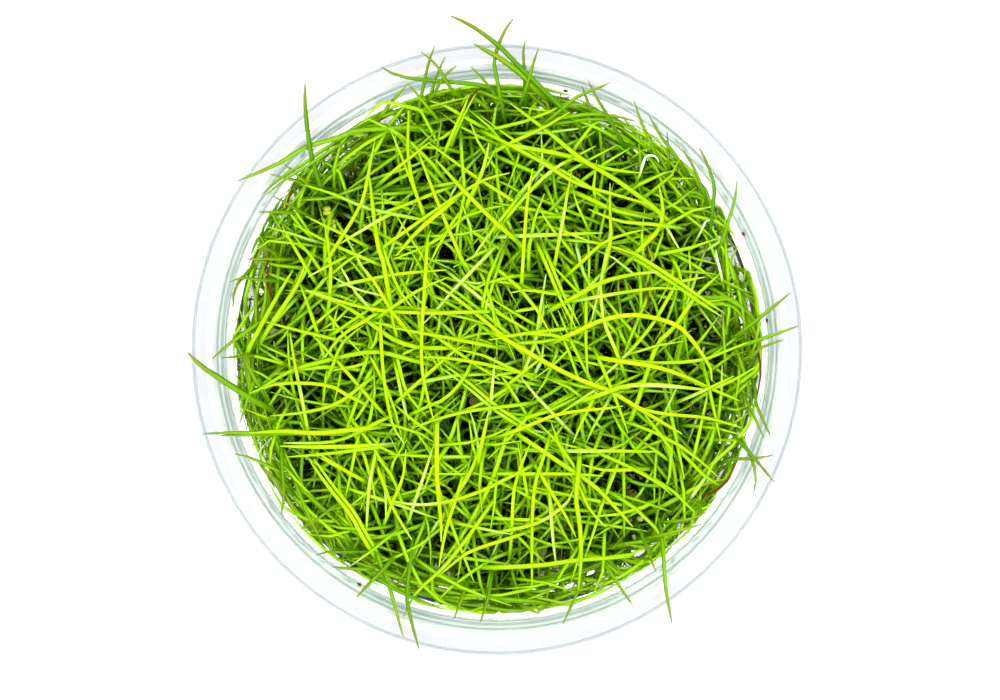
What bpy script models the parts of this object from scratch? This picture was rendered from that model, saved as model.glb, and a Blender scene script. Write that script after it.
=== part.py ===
"""Dwarf hairgrass grown in a clear plastic tissue-culture cup, standing open with its lid off.

The cup holds a disc of cream jelly. About forty plantlets stand in the jelly, each one closed body: a
crown with needle leaves that rise, arch over and lie criss-cross level with the rim. A few long leaves
reach out over the rim. The origin is the middle of the cup's flat bottom, and +Z is up.

All sizes are in millimetres. MM turns them into metres where a mesh is made.
"""

import math

import bmesh
import bpy
import numpy as np
from mathutils import Matrix, Vector

MM = 0.001

# Cup: inner radii and heights of its turned wall
RIM_RADIUS = 50.0
CUP_HEIGHT = 48.0
WALL = 0.9
FLOOR_RADIUS = 40.2
LOWER_WALL_RADIUS = 41.9
LOWER_WALL_FOOT = 2.6
SHOULDER_INNER_RADIUS = 43.0
SHOULDER_OUTER_RADIUS = 43.9
SHOULDER_HEIGHT = 30.2
SHOULDER_RISE = 1.1
UPPER_WALL_RADIUS = 44.4
UPPER_WALL_TOP = 45.4
STEP_RADIUS = 45.4
STEP_LEAN = 0.2
LEDGE_RISE = 0.4
FLANGE_INNER_RADIUS = 46.0
EDGE_ROUND = 0.4
OUTER_DROP = 0.2
LIP_DEPTH = 1.7
LIP_THICKNESS = 0.7
CUP_SIDES = 40

# Jelly
TOUCH_GAP = 0.3
JELLY_TOP = 9.5
JELLY_WALL_RISE = 0.8
JELLY_WALL_GAP = 0.45
JELLY_RISE_WIDTH = 1.4
JELLY_FOOT_RISE = 0.6

# Plantlets
PLANTLETS = 42
PLANTING_RADIUS = 38.2
GOLDEN_ANGLE = math.pi * (3.0 - math.sqrt(5.0))
CROWN_HEIGHT = 1.8
CROWN_FOOT_RADIUS = 1.4
CROWN_TOP_RADIUS = 2.4
LEAVES_EACH = 9
WEDGE_ANGLE = 2.0 * math.pi / LEAVES_EACH
WEDGE_STRIDE = 4
FIRST_WEDGE_ANGLE = math.pi / 2.0 + WEDGE_ANGLE / 2.0

# Leaves
LEAF_RADIUS = 0.42
LEAF_TOP_RADIUS = 0.32
LEAF_CLEARANCE = 0.3
OWN_CLEARANCE = 0.15
LEAF_FOOT_RADIUS = 0.85
LEAF_WALL_CLEARANCE = 0.9
GRASS_RADIUS = 46.0
RIM_CLEARANCE = 0.8
LEAF_TOP_HEIGHT = 52.5
LYING_LEAF_HEIGHT = 46.0
SHORT_LEAF_HEIGHT = 30.0
LYING_SHARE = 0.6
LEAF_REACH = (6.0, 30.0)
LEAF_SWERVE = 0.9
LEAF_JITTER = 0.15
KNEE_LEAN = 2.8
LONG_LEAF_REACH = 15.0
SHORT_LEAF_STEPS = (0.42, 0.76, 1.0)
LONG_LEAF_STEPS = (0.34, 0.62, 0.84, 1.0)
RISING_SHARE = np.array((0.55, 0.55, 0.62))
RIM_LEAF_ROOTING = 0.88
CROWDING_PENALTY = 6.0
GROWTH_SEED = 5
GROWTH_TRIES = 600
SHRINK_WITH_TRIES = 0.85

# Long leaves that reach past the grass: where each leaves the grass, its middle and its tip
RIM_LEAVES = (
    ((11.4, 38.5, 48.4), (3.4, 46.3, 52.4), (-7.4, 53.9, 53.8)),
    ((0.2, 40.6, 47.6), (-0.5, 46.4, 50.4), (2.6, 53.4, 52.6)),
    ((4.6, 40.8, 47.8), (5.0, 45.5, 50.2), (4.7, 49.9, 51.4)),
    ((-12.2, 39.4, 47.6), (-11.6, 43.2, 51.2), (-10.0, 48.9, 52.6)),
    ((-4.0, 40.9, 48.0), (-11.3, 43.4, 49.4), (-18.7, 45.6, 50.4)),
    ((17.6, 37.6, 46.6), (16.4, 40.9, 49.3), (14.6, 43.4, 51.2)),
    ((26.0, 31.0, 46.8), (26.6, 34.4, 49.0), (24.5, 37.8, 51.2)),
    ((32.4, 24.6, 47.6), (34.4, 28.0, 50.0), (32.6, 32.6, 51.4)),
    ((37.0, 19.0, 47.0), (38.3, 23.6, 50.0), (38.7, 27.2, 52.3)),
    ((39.6, 3.2, 46.8), (43.6, 6.2, 50.2), (47.2, 9.1, 51.6)),
    ((39.2, -0.6, 46.9), (44.0, 1.9, 49.7), (48.5, 3.7, 50.6)),
    ((37.8, -13.2, 47.8), (42.0, -17.3, 50.2), (44.7, -21.3, 51.6)),
    ((30.2, -26.2, 46.6), (31.6, -27.4, 48.6), (34.4, -26.9, 50.4)),
    ((26.6, -30.0, 47.4), (27.2, -36.0, 50.2), (28.3, -44.1, 52.4)),
    ((18.9, -36.4, 46.4), (20.2, -39.0, 49.3), (22.1, -41.6, 51.0)),
    ((10.6, -38.6, 46.4), (11.8, -41.6, 49.4), (10.7, -44.2, 51.0)),
    ((-0.4, -38.4, 46.4), (-1.3, -41.4, 49.3), (-2.8, -44.2, 51.0)),
    ((-13.6, -33.6, 46.6), (-14.5, -40.6, 50.2), (-12.6, -48.3, 52.6)),
    ((-17.2, -36.2, 46.4), (-17.0, -41.4, 50.1), (-15.2, -46.2, 51.8)),
    ((-18.4, -34.0, 46.6), (-20.6, -37.6, 49.2), (-22.6, -39.9, 50.6)),
    ((-27.2, -25.6, 46.6), (-29.2, -27.6, 48.9), (-31.6, -29.0, 50.6)),
    ((-34.8, -17.6, 46.8), (-34.4, -22.6, 48.8), (-34.9, -26.6, 50.8)),
    ((-30.0, -13.6, 47.6), (-39.4, -13.6, 49.4), (-47.6, -13.6, 50.6)),
    ((-36.6, -9.4, 47.6), (-44.3, -5.1, 50.0), (-49.9, -0.6, 51.6)),
    ((-38.0, -4.4, 46.8), (-40.4, -1.6, 49.2), (-43.0, 2.4, 51.0)),
    ((-37.4, 9.0, 46.8), (-40.4, 10.4, 49.2), (-43.1, 11.0, 51.2)),
    ((-31.4, 26.4, 47.6), (-34.4, 26.0, 49.8), (-38.0, 25.5, 51.2)),
    ((-19.6, 35.6, 48.0), (-30.8, 32.8, 49.5), (-41.8, 27.2, 50.8)),
    ((-29.0, 29.6, 48.8), (-30.3, 34.0, 52.6), (-31.0, 42.9, 54.4)),
)

PLASTIC = (0.93, 0.96, 0.97, 1.0)
JELLY = (0.80, 0.78, 0.62, 1.0)
LEAF_GREEN = (0.33, 0.66, 0.02, 1.0)


def remove_old_objects():
    for old in list(bpy.data.objects):
        bpy.data.objects.remove(old, do_unlink=True)


def new_collection(name):
    collection = bpy.data.collections.new(name)
    bpy.context.scene.collection.children.link(collection)
    return collection


def plain_material(name, colour, roughness, transmission=0.0):
    material = bpy.data.materials.new(name)
    material.use_nodes = True
    shader = material.node_tree.nodes["Principled BSDF"]
    shader.inputs["Base Color"].default_value = colour
    shader.inputs["Roughness"].default_value = roughness
    shader.inputs["Metallic"].default_value = 0.0
    shader.inputs["Transmission Weight"].default_value = transmission
    return material


def turned(name, profile, material, collection):
    """A solid of revolution about Z. The profile starts and ends on the axis."""
    mesh = bpy.data.meshes.new(name)
    points = [(radius * MM, 0.0, height * MM) for radius, height in profile]
    edges = [(i, i + 1) for i in range(len(points) - 1)]
    mesh.from_pydata(points, edges, [])
    mesh.materials.append(material)
    turned_object = bpy.data.objects.new(name, mesh)
    collection.objects.link(turned_object)
    screw = turned_object.modifiers.new("turn", "SCREW")
    screw.axis = "Z"
    screw.steps = CUP_SIDES
    screw.render_steps = CUP_SIDES
    screw.use_merge_vertices = True
    screw.merge_threshold = 0.00005
    screw.use_smooth_shade = True
    return turned_object


def cup_profile():
    """Half section of the cup, up its inner side, over the rim and down its outer side."""
    foot_round = LOWER_WALL_RADIUS - FLOOR_RADIUS
    arc = [math.radians(angle) for angle in (30.0, 60.0)]
    inner_corner = [
        (
            FLOOR_RADIUS + foot_round * math.sin(turn),
            WALL + (LOWER_WALL_FOOT - WALL) * (1.0 - math.cos(turn)),
        )
        for turn in arc
    ]
    outer_corner = [
        (
            FLOOR_RADIUS + (foot_round + WALL) * math.sin(turn),
            LOWER_WALL_FOOT * (1.0 - math.cos(turn)),
        )
        for turn in reversed(arc)
    ]
    shoulder_top = SHOULDER_HEIGHT + SHOULDER_RISE
    flange_under = CUP_HEIGHT - WALL
    inner_side = [
        (0.0, WALL),
        (FLOOR_RADIUS, WALL),
        *inner_corner,
        (LOWER_WALL_RADIUS, LOWER_WALL_FOOT),
        (SHOULDER_INNER_RADIUS, SHOULDER_HEIGHT),
        (SHOULDER_OUTER_RADIUS, shoulder_top),
        (UPPER_WALL_RADIUS, UPPER_WALL_TOP),
        (STEP_RADIUS, UPPER_WALL_TOP + LEDGE_RISE),
        (STEP_RADIUS + STEP_LEAN, CUP_HEIGHT - EDGE_ROUND),
        (FLANGE_INNER_RADIUS, CUP_HEIGHT),
    ]
    rim = [
        (RIM_RADIUS - EDGE_ROUND, CUP_HEIGHT),
        (RIM_RADIUS, CUP_HEIGHT - EDGE_ROUND),
        (RIM_RADIUS, CUP_HEIGHT - LIP_DEPTH),
        (RIM_RADIUS - LIP_THICKNESS, CUP_HEIGHT - LIP_DEPTH),
        (RIM_RADIUS - LIP_THICKNESS, flange_under),
    ]
    outer_side = [
        (STEP_RADIUS + STEP_LEAN + WALL, flange_under),
        (STEP_RADIUS + WALL, UPPER_WALL_TOP - OUTER_DROP),
        (UPPER_WALL_RADIUS + WALL, UPPER_WALL_TOP - OUTER_DROP - LEDGE_RISE),
        (SHOULDER_OUTER_RADIUS + WALL, shoulder_top - OUTER_DROP),
        (SHOULDER_INNER_RADIUS + WALL, SHOULDER_HEIGHT - OUTER_DROP),
        (LOWER_WALL_RADIUS + WALL, LOWER_WALL_FOOT),
        *outer_corner,
        (FLOOR_RADIUS, 0.0),
        (0.0, 0.0),
    ]
    return inner_side + rim + outer_side


def jelly_profile():
    """Half section of the cast jelly, with a low rise where it clings to the wall."""
    bottom = WALL + TOUCH_GAP
    side = LOWER_WALL_RADIUS - JELLY_WALL_GAP
    return [
        (0.0, JELLY_TOP),
        (side - JELLY_RISE_WIDTH, JELLY_TOP),
        (side, JELLY_TOP + JELLY_WALL_RISE),
        (side, LOWER_WALL_FOOT + JELLY_FOOT_RISE),
        (FLOOR_RADIUS - JELLY_WALL_GAP, bottom),
        (0.0, bottom),
    ]


def inner_radius(heights):
    """Inner radius of the cup's wall at each height. There is no wall above the rim."""
    shoulder_top = SHOULDER_HEIGHT + SHOULDER_RISE
    levels = (0.0, LOWER_WALL_FOOT, SHOULDER_HEIGHT, shoulder_top, UPPER_WALL_TOP, CUP_HEIGHT)
    radii = (
        FLOOR_RADIUS,
        LOWER_WALL_RADIUS,
        SHOULDER_INNER_RADIUS,
        SHOULDER_OUTER_RADIUS,
        UPPER_WALL_RADIUS,
        UPPER_WALL_RADIUS,
    )
    walled = np.interp(heights, levels, radii)
    return np.where(heights > CUP_HEIGHT + RIM_CLEARANCE, np.inf, walled)


def crown_places():
    """Middles of the crowns, spread over the jelly like the seeds of a sunflower."""
    places = []
    for i in range(PLANTLETS):
        radius = PLANTING_RADIUS * math.sqrt((i + 0.5) / PLANTLETS)
        turn = i * GOLDEN_ANGLE
        places.append((radius * math.cos(turn), radius * math.sin(turn)))
    return np.array(places)


def leaf_radii(count):
    """Half thickness of a leaf at each ring of its way to the tip, which is a point."""
    return np.linspace(LEAF_RADIUS, LEAF_TOP_RADIUS, count).tolist()


def segment_distances(a0, a1, b0, b1):
    """Least distance between each of the segments a and each of the segments b."""
    a0, a1 = a0[:, None, :], a1[:, None, :]
    b0, b1 = b0[None, :, :], b1[None, :, :]
    along_a, along_b, between = a1 - a0, b1 - b0, a0 - b0
    aa = (along_a * along_a).sum(-1)
    bb = (along_b * along_b).sum(-1)
    ab = (along_a * along_b).sum(-1)
    a_between = (along_a * between).sum(-1)
    b_between = (along_b * between).sum(-1)
    spread = np.maximum(aa * bb - ab * ab, 1e-9)
    s = np.clip((ab * b_between - bb * a_between) / spread, 0.0, 1.0)
    t = np.clip((ab * s + b_between) / bb, 0.0, 1.0)
    s = np.clip((ab * t - a_between) / aa, 0.0, 1.0)
    gap = between + s[..., None] * along_a - t[..., None] * along_b
    return np.sqrt((gap * gap).sum(-1))


class Thicket:
    """The leaves grown so far, as segments, so that a new leaf can be kept clear of them."""

    def __init__(self):
        self.starts = np.empty((0, 3))
        self.ends = np.empty((0, 3))
        self.radii = np.empty(0)
        self.owners = np.empty(0, int)

    def add(self, path, owner):
        self.starts = np.vstack([self.starts, path[:-1]])
        self.ends = np.vstack([self.ends, path[1:]])
        self.radii = np.append(self.radii, self.stretch_radii(path))
        self.owners = np.append(self.owners, np.full(len(path) - 1, owner))

    def stretch_radii(self, path):
        """Half thickness of each stretch of a leaf. The lowest widens towards the crown."""
        return np.where(np.arange(len(path) - 1) == 0, LEAF_FOOT_RADIUS, LEAF_RADIUS)

    def is_clear(self, path, owner):
        """Leaves of one crown start side by side, so they may come closer to each other."""
        if not len(self.starts):
            return True
        gaps = segment_distances(path[:-1], path[1:], self.starts, self.ends)
        apart = self.stretch_radii(path)[:, None] + self.radii[None, :] + LEAF_CLEARANCE
        side_by_side = 2.0 * LEAF_RADIUS + OWN_CLEARANCE
        allowed = np.where(self.owners == owner, side_by_side, apart)
        return bool((gaps > allowed).all())


def inside_cup(path):
    """Whether a leaf keeps clear of the wall and the rim."""
    parts = np.linspace(0.0, 1.0, 9)[:, None, None]
    points = (path[:-1] * (1.0 - parts) + path[1:] * parts).reshape(-1, 3)
    radii = np.hypot(points[:, 0], points[:, 1])
    return bool((radii < inner_radius(points[:, 2]) - LEAF_WALL_CLEARANCE).all())


def wedge_middle(root, angle):
    """Middle of the wedge of a crown's top that faces this way."""
    out = CROWN_TOP_RADIUS * math.cos(WEDGE_ANGLE / 2.0) * 2.0 / 3.0
    top = JELLY_TOP + TOUCH_GAP + CROWN_HEIGHT
    return np.array((root[0] + out * math.cos(angle), root[1] + out * math.sin(angle), top))


def random_leaf(rng, start, facing, patience):
    """One possible leaf. It rises towards its knee and bends over to its tip."""
    reach = rng.uniform(*LEAF_REACH) * patience
    swerve = facing + rng.uniform(-LEAF_SWERVE, LEAF_SWERVE) * patience
    lowest_top = LYING_LEAF_HEIGHT if rng.random() < LYING_SHARE else SHORT_LEAF_HEIGHT
    top = rng.uniform(lowest_top, LEAF_TOP_HEIGHT)
    knee_height = JELLY_TOP + (top - JELLY_TOP) * rng.uniform(0.75, 1.05)
    knee_reach = KNEE_LEAN + reach * rng.uniform(0.05, 0.35)
    out = np.array((math.cos(facing), math.sin(facing)))
    over = np.array((math.cos(swerve), math.sin(swerve)))
    knee = np.array((*(start[:2] + knee_reach * out), knee_height))
    tip = np.array((*(start[:2] + knee_reach * out + reach * over), top))
    steps = LONG_LEAF_STEPS if reach > LONG_LEAF_REACH else SHORT_LEAF_STEPS
    way = np.array((0.0, *steps))[:, None]
    return (1.0 - way) ** 2 * start + 2.0 * way * (1.0 - way) * knee + way**2 * tip


def grow_leaf(rng, root, facing, thicket, owner):
    """A leaf that touches nothing, or None where no room is left for one."""
    start = wedge_middle(root, facing)
    for attempt in range(GROWTH_TRIES):
        patience = 1.0 - SHRINK_WITH_TRIES * attempt / GROWTH_TRIES
        path = random_leaf(rng, start, facing + rng.uniform(-LEAF_JITTER, LEAF_JITTER), patience)
        widest = np.hypot(path[:, 0], path[:, 1]).max()
        if widest < GRASS_RADIUS and inside_cup(path) and thicket.is_clear(path, owner):
            return path
    return None


def rim_leaf(start, leaves_grass, middle, tip):
    """A long leaf: up from its crown, then out over the rim through three given places."""
    turn = np.array(leaves_grass)
    rising = start + (turn - start) * RISING_SHARE
    return np.array((start, rising, turn, middle, tip))


def plan_rim_leaves(places, thicket):
    """Gives each rim leaf to a near crown. Returns each crown's leaves and the turn of its wedges."""
    leaves = [{} for _ in places]
    turns = [i * GOLDEN_ANGLE for i in range(len(places))]
    for bends in RIM_LEAVES:
        aim = np.array(bends[0][:2]) * RIM_LEAF_ROOTING
        crowding = CROWDING_PENALTY * np.array([len(own) for own in leaves])
        owner = int((np.hypot(*(places - aim).T) + crowding).argmin())
        towards = np.array(bends[0][:2]) - places[owner]
        heading = math.atan2(towards[1], towards[0])
        if not leaves[owner]:
            turns[owner] = heading
        wedge = round((heading - turns[owner]) / WEDGE_ANGLE) % LEAVES_EACH
        while wedge in leaves[owner]:
            wedge = (wedge + 1) % LEAVES_EACH
        start = wedge_middle(places[owner], turns[owner] + wedge * WEDGE_ANGLE)
        path = rim_leaf(start, *bends)
        leaves[owner][wedge] = path
        thicket.add(path, owner)
    return leaves, turns


def plan_plantlets():
    """For each crown, its place, the turn of its wedges and the path of the leaf on each wedge."""
    rng = np.random.default_rng(GROWTH_SEED)
    places = crown_places()
    thicket = Thicket()
    leaves, turns = plan_rim_leaves(places, thicket)
    for step in range(LEAVES_EACH):
        for owner, root in enumerate(places):
            wedge = (step * WEDGE_STRIDE) % LEAVES_EACH
            if wedge in leaves[owner]:
                continue
            facing = turns[owner] + wedge * WEDGE_ANGLE
            path = grow_leaf(rng, root, facing, thicket, owner)
            if path is not None:
                leaves[owner][wedge] = path
                thicket.add(path, owner)
    return places, turns, leaves


def draw_out_leaf(bm, wedge_face, path):
    """Draws a wedge of the crown's top out along a path, tapering to a point."""
    face = wedge_face
    points = [Vector(point) for point in path]
    side = None
    for i, radius in enumerate(leaf_radii(len(points) - 2), start=1):
        along = (points[i + 1] - points[i - 1]).normalized()
        if side is None:
            side = face.verts[0].co - points[0]
        side = (side - side.dot(along) * along).normalized()
        across = along.cross(side)
        face = bmesh.ops.extrude_discrete_faces(bm, faces=[face])["faces"][0]
        for k, corner in enumerate(face.verts):
            angle = k * 2.0 * math.pi / 3.0
            corner.co = points[i] + radius * (math.cos(angle) * side + math.sin(angle) * across)
    face = bmesh.ops.extrude_discrete_faces(bm, faces=[face])["faces"][0]
    bmesh.ops.pointmerge(bm, verts=list(face.verts), merge_co=points[-1])


def plantlet(name, root, turn, leaves, material, collection):
    """One plantlet: a crown whose top is a fan of wedges, and a leaf drawn out of each."""
    bm = bmesh.new()
    bmesh.ops.create_cone(
        bm,
        cap_ends=True,
        segments=LEAVES_EACH,
        radius1=CROWN_FOOT_RADIUS,
        radius2=CROWN_TOP_RADIUS,
        depth=CROWN_HEIGHT,
    )
    facing = Matrix.Rotation(turn - FIRST_WEDGE_ANGLE, 3, "Z")
    bmesh.ops.rotate(bm, verts=bm.verts, matrix=facing)
    bmesh.ops.translate(bm, verts=bm.verts, vec=(*root, JELLY_TOP + TOUCH_GAP + CROWN_HEIGHT / 2.0))
    cap = max(bm.faces, key=lambda face: face.calc_center_median().z)
    wedges = bmesh.ops.poke(bm, faces=[cap])["faces"]
    for wedge in wedges:
        middle = wedge.calc_center_median()
        angle = math.atan2(middle.y - root[1], middle.x - root[0]) - turn
        index = round(angle / WEDGE_ANGLE) % LEAVES_EACH
        if index in leaves:
            draw_out_leaf(bm, wedge, leaves[index])
    bmesh.ops.scale(bm, verts=bm.verts, vec=(MM, MM, MM))
    mesh = bpy.data.meshes.new(name)
    bm.to_mesh(mesh)
    bm.free()
    mesh.materials.append(material)
    collection.objects.link(bpy.data.objects.new(name, mesh))


def main():
    remove_old_objects()
    collection = new_collection("dwarf_hairgrass")
    plastic = plain_material("clear_plastic", PLASTIC, roughness=0.08, transmission=1.0)
    jelly = plain_material("jelly", JELLY, roughness=0.25, transmission=0.6)
    leaf_green = plain_material("leaf_green", LEAF_GREEN, roughness=0.42)
    turned("cup", cup_profile(), plastic, collection)
    turned("gel", jelly_profile(), jelly, collection)
    for i, (root, turn, leaves) in enumerate(zip(*plan_plantlets()), start=1):
        plantlet(f"tuft_{i:02d}", root, turn, leaves, leaf_green, collection)


main()
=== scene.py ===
import math
import random

import bmesh
import bpy
import numpy as np
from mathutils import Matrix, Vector


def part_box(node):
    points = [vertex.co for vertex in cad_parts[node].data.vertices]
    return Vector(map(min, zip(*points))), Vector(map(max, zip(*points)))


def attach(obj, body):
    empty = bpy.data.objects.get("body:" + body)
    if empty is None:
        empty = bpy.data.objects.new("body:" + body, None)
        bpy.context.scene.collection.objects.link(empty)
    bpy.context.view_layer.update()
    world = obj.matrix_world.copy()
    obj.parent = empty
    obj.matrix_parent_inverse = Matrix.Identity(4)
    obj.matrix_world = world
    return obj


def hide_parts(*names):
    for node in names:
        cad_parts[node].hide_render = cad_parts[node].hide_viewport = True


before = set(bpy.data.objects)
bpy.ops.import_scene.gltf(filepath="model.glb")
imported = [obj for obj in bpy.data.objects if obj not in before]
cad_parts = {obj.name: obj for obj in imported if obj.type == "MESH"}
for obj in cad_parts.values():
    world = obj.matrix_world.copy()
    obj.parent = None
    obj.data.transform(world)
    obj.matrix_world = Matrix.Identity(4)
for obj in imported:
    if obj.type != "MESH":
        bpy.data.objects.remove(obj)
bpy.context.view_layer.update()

# The cup is one piece of thin clear plastic, moulded with a flat bottom, a stacking shoulder part way
# up its wall, a small step under the mouth and a wide flat flange with a turned-down lip. It is turned
# here from one outline: distance from the axis, height and the radius of each bend, in millimetres.
MM = 0.001
cup_low, cup_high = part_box("cup")
RIM_RADIUS = cup_high.x / MM
RIM_HEIGHT = cup_high.z / MM
FLOOR_THICKNESS = 0.9
WALL_FOOT_RADIUS = 41.9
SHOULDER_INNER_RADIUS = 43.0
SHOULDER_HEIGHT = 30.2
UPPER_WALL_RADIUS = 43.9
MOUTH_RADIUS = 44.4
STEP_HEIGHT = 45.4
FLANGE_INNER_RADIUS = 45.62
FLANGE_UNDERSIDE = 47.1
CREASE_RADIUS = 47.2
CREASE_DEPTH = 0.09
LIP_INNER_RADIUS = 49.3
LIP_BOTTOM = 46.3
CUP_STEPS = 288
CUP_OUTLINE = (
    (0.0, FLOOR_THICKNESS, 0.0),
    (WALL_FOOT_RADIUS, FLOOR_THICKNESS, 1.7),
    (SHOULDER_INNER_RADIUS, SHOULDER_HEIGHT, 0.6),
    (UPPER_WALL_RADIUS, 31.3, 0.6),
    (MOUTH_RADIUS, STEP_HEIGHT, 0.35),
    (45.4, 45.8, 0.3),
    (FLANGE_INNER_RADIUS, RIM_HEIGHT, 0.4),
    (CREASE_RADIUS - 0.3, RIM_HEIGHT, 0.2),
    (CREASE_RADIUS, RIM_HEIGHT - CREASE_DEPTH, 0.15),
    (CREASE_RADIUS + 0.3, RIM_HEIGHT, 0.2),
    (RIM_RADIUS, RIM_HEIGHT, 0.4),
    (RIM_RADIUS, LIP_BOTTOM, 0.3),
    (LIP_INNER_RADIUS, LIP_BOTTOM, 0.3),
    (LIP_INNER_RADIUS, FLANGE_UNDERSIDE, 0.3),
    (46.45, FLANGE_UNDERSIDE, 0.3),
    (46.3, 45.0, 0.3),
    (45.3, 44.75, 0.3),
    (44.8, 31.0, 0.5),
    (43.85, 29.9, 0.5),
    (42.8, 0.0, 2.6),
    (0.0, 0.0, 0.0),
)


def rounded(outline, steps=5):
    """The outline's points with each bend turned into an arc of its own radius."""
    points = []
    for i, (r, z, radius) in enumerate(outline):
        if radius == 0.0:
            points.append((r, z))
            continue
        here = np.array((r, z))
        before = np.array(outline[i - 1][:2]) - here
        after = np.array(outline[i + 1][:2]) - here
        u = before / np.linalg.norm(before)
        v = after / np.linalg.norm(after)
        half = math.acos(float(np.clip(u @ v, -1.0, 1.0))) / 2.0
        back = min(radius / math.tan(half), 0.4 * np.linalg.norm(before), 0.4 * np.linalg.norm(after))
        bow = back * math.tan(half)
        middle = here + (u + v) / np.linalg.norm(u + v) * math.hypot(back, bow)
        first = here + u * back - middle
        last = here + v * back - middle
        beside = 0.08 * min(np.linalg.norm(before), np.linalg.norm(after))
        points.append(tuple(middle + first + u * beside))
        for k in range(steps + 1):
            way = first * (1.0 - k / steps) + last * (k / steps)
            points.append(tuple(middle + way / np.linalg.norm(way) * bow))
        points.append(tuple(middle + last + v * beside))
    return points


def new_object(name, data):
    """An object of that mesh, light or camera, linked to the scene."""
    made = bpy.data.objects.new(name, data)
    bpy.context.scene.collection.objects.link(made)
    return made


def volume_of(mesh):
    """Signed volume, which is below zero when the faces point inwards."""
    mesh.calc_loop_triangles()
    places = np.empty(len(mesh.vertices) * 3)
    mesh.vertices.foreach_get("co", places)
    corners = np.empty(len(mesh.loop_triangles) * 3, dtype=np.int64)
    mesh.loop_triangles.foreach_get("vertices", corners)
    a, b, c = places.reshape(-1, 3)[corners.reshape(-1, 3)].transpose(1, 0, 2)
    return float((a * np.cross(b, c)).sum() / 6.0)


def made_plain(name, source):
    """A piece of the plain mesh that the source's modifiers make, with its faces outwards."""
    mesh = bpy.data.meshes.new_from_object(source.evaluated_get(bpy.context.evaluated_depsgraph_get()))
    bpy.data.objects.remove(source)
    if volume_of(mesh) < 0.0:
        mesh.flip_normals()
    mesh.name = name
    return new_object(name, mesh)


def turned(name, points, steps):
    """A closed solid turned round the Z axis from an outline in millimetres."""
    mesh = bpy.data.meshes.new(name)
    vertices = [(r * MM, 0.0, z * MM) for r, z in points]
    mesh.from_pydata(vertices, [(i, i + 1) for i in range(len(vertices) - 1)], [])
    source = new_object(name + "_outline", mesh)
    screw = source.modifiers.new("turn", "SCREW")
    screw.axis = "Z"
    screw.steps = screw.render_steps = steps
    screw.use_merge_vertices = True
    screw.merge_threshold = 1e-6
    screw.use_normal_calculate = True
    return made_plain(name, source)


def new_material(name, settings):
    """A material, its node tree and its Principled shader with these even settings."""
    material = bpy.data.materials.new(name)
    material.use_nodes = True
    shader = material.node_tree.nodes["Principled BSDF"]
    for socket, value in settings.items():
        shader.inputs[socket].default_value = value
    return material, material.node_tree, shader


def new_node(tree, kind, inputs, **options):
    """Adds a node, its inputs set to plain values or linked to other nodes, and gives its outputs."""
    node = tree.nodes.new(kind)
    for option, value in options.items():
        setattr(node, option, value)
    for socket, value in inputs.items():
        if isinstance(value, bpy.types.NodeSocket):
            tree.links.new(value, node.inputs[socket])
        else:
            node.inputs[socket].default_value = value
    return node.outputs


def in_object(tree):
    """A point's place in object coordinates."""
    return new_node(tree, "ShaderNodeTexCoord", {})["Object"]


def length(tree, vector):
    """How long a vector is."""
    return new_node(tree, "ShaderNodeVectorMath", {0: vector}, operation="LENGTH")["Value"]


def height_and_reach(tree):
    """A point's height, and how far it is from the cup's axis."""
    parts = new_node(tree, "ShaderNodeSeparateXYZ", {"Vector": in_object(tree)})
    flat = new_node(tree, "ShaderNodeCombineXYZ", {"X": parts["X"], "Y": parts["Y"]})
    return parts["Z"], length(tree, flat["Vector"])


def calculated(tree, operation, *values):
    """A sum on one or two numbers, such as MULTIPLY."""
    return new_node(tree, "ShaderNodeMath", dict(enumerate(values)), operation=operation)["Value"]


def rescaled(tree, value, low, high, to_low=0.0, to_high=1.0, kind="LINEAR"):
    """A number between low and high brought to between to_low and to_high, and held there."""
    inputs = {"Value": value, "From Min": low, "From Max": high, "To Min": to_low, "To Max": to_high}
    return new_node(tree, "ShaderNodeMapRange", inputs, interpolation_type=kind)["Result"]


def ramp(tree, source, stops):
    """A colour ramp with stops of (place, colour). A single number is a grey."""
    node = tree.nodes.new("ShaderNodeValToRGB")
    line = node.color_ramp.elements
    while len(line) < len(stops):
        line.new(0.5)
    for element, (place, colour) in zip(line, stops):
        element.position = place
        element.color = (colour, colour, colour, 1.0) if isinstance(colour, float) else (*colour, 1.0)
    tree.links.new(source, node.inputs["Fac"])
    return node.outputs["Color"]


def blended(tree, kind, factor, first, second):
    """Two colours mixed or multiplied by that share. A Mix node's colour sockets are 6, 7 and 2."""
    inputs = {0: factor, 6: first, 7: second}
    return new_node(tree, "ShaderNodeMix", inputs, data_type="RGBA", blend_type=kind)[2]


def noise(tree, scale, detail=2.0):
    """Noise on object coordinates, in cycles to a metre."""
    inputs = {"Vector": in_object(tree), "Scale": scale, "Detail": detail}
    return new_node(tree, "ShaderNodeTexNoise", inputs)["Fac"]


def bump(tree, shader, source, strength, depth):
    """Fine relief of a surface, from a height between 0 and 1."""
    relief = new_node(tree, "ShaderNodeBump", {"Height": source, "Strength": strength, "Distance": depth})
    tree.links.new(relief["Normal"], shader.inputs["Normal"])


clear_plastic, tree, shader = new_material("clear_plastic", {"IOR": 1.49})
absorption = new_node(tree, "ShaderNodeVolumeAbsorption", {"Color": (0.70, 0.92, 0.96, 1.0), "Density": 55.0})
tree.links.new(absorption["Volume"], tree.nodes["Material Output"].inputs["Volume"])
roughness = ramp(tree, noise(tree, 900.0, 3.0), ((0.0, 0.01), (0.62, 0.015), (0.74, 0.10)))
tree.links.new(roughness, shader.inputs["Roughness"])
z, reach = height_and_reach(tree)
height = rescaled(tree, z, 0.0, RIM_HEIGHT * MM)

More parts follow.
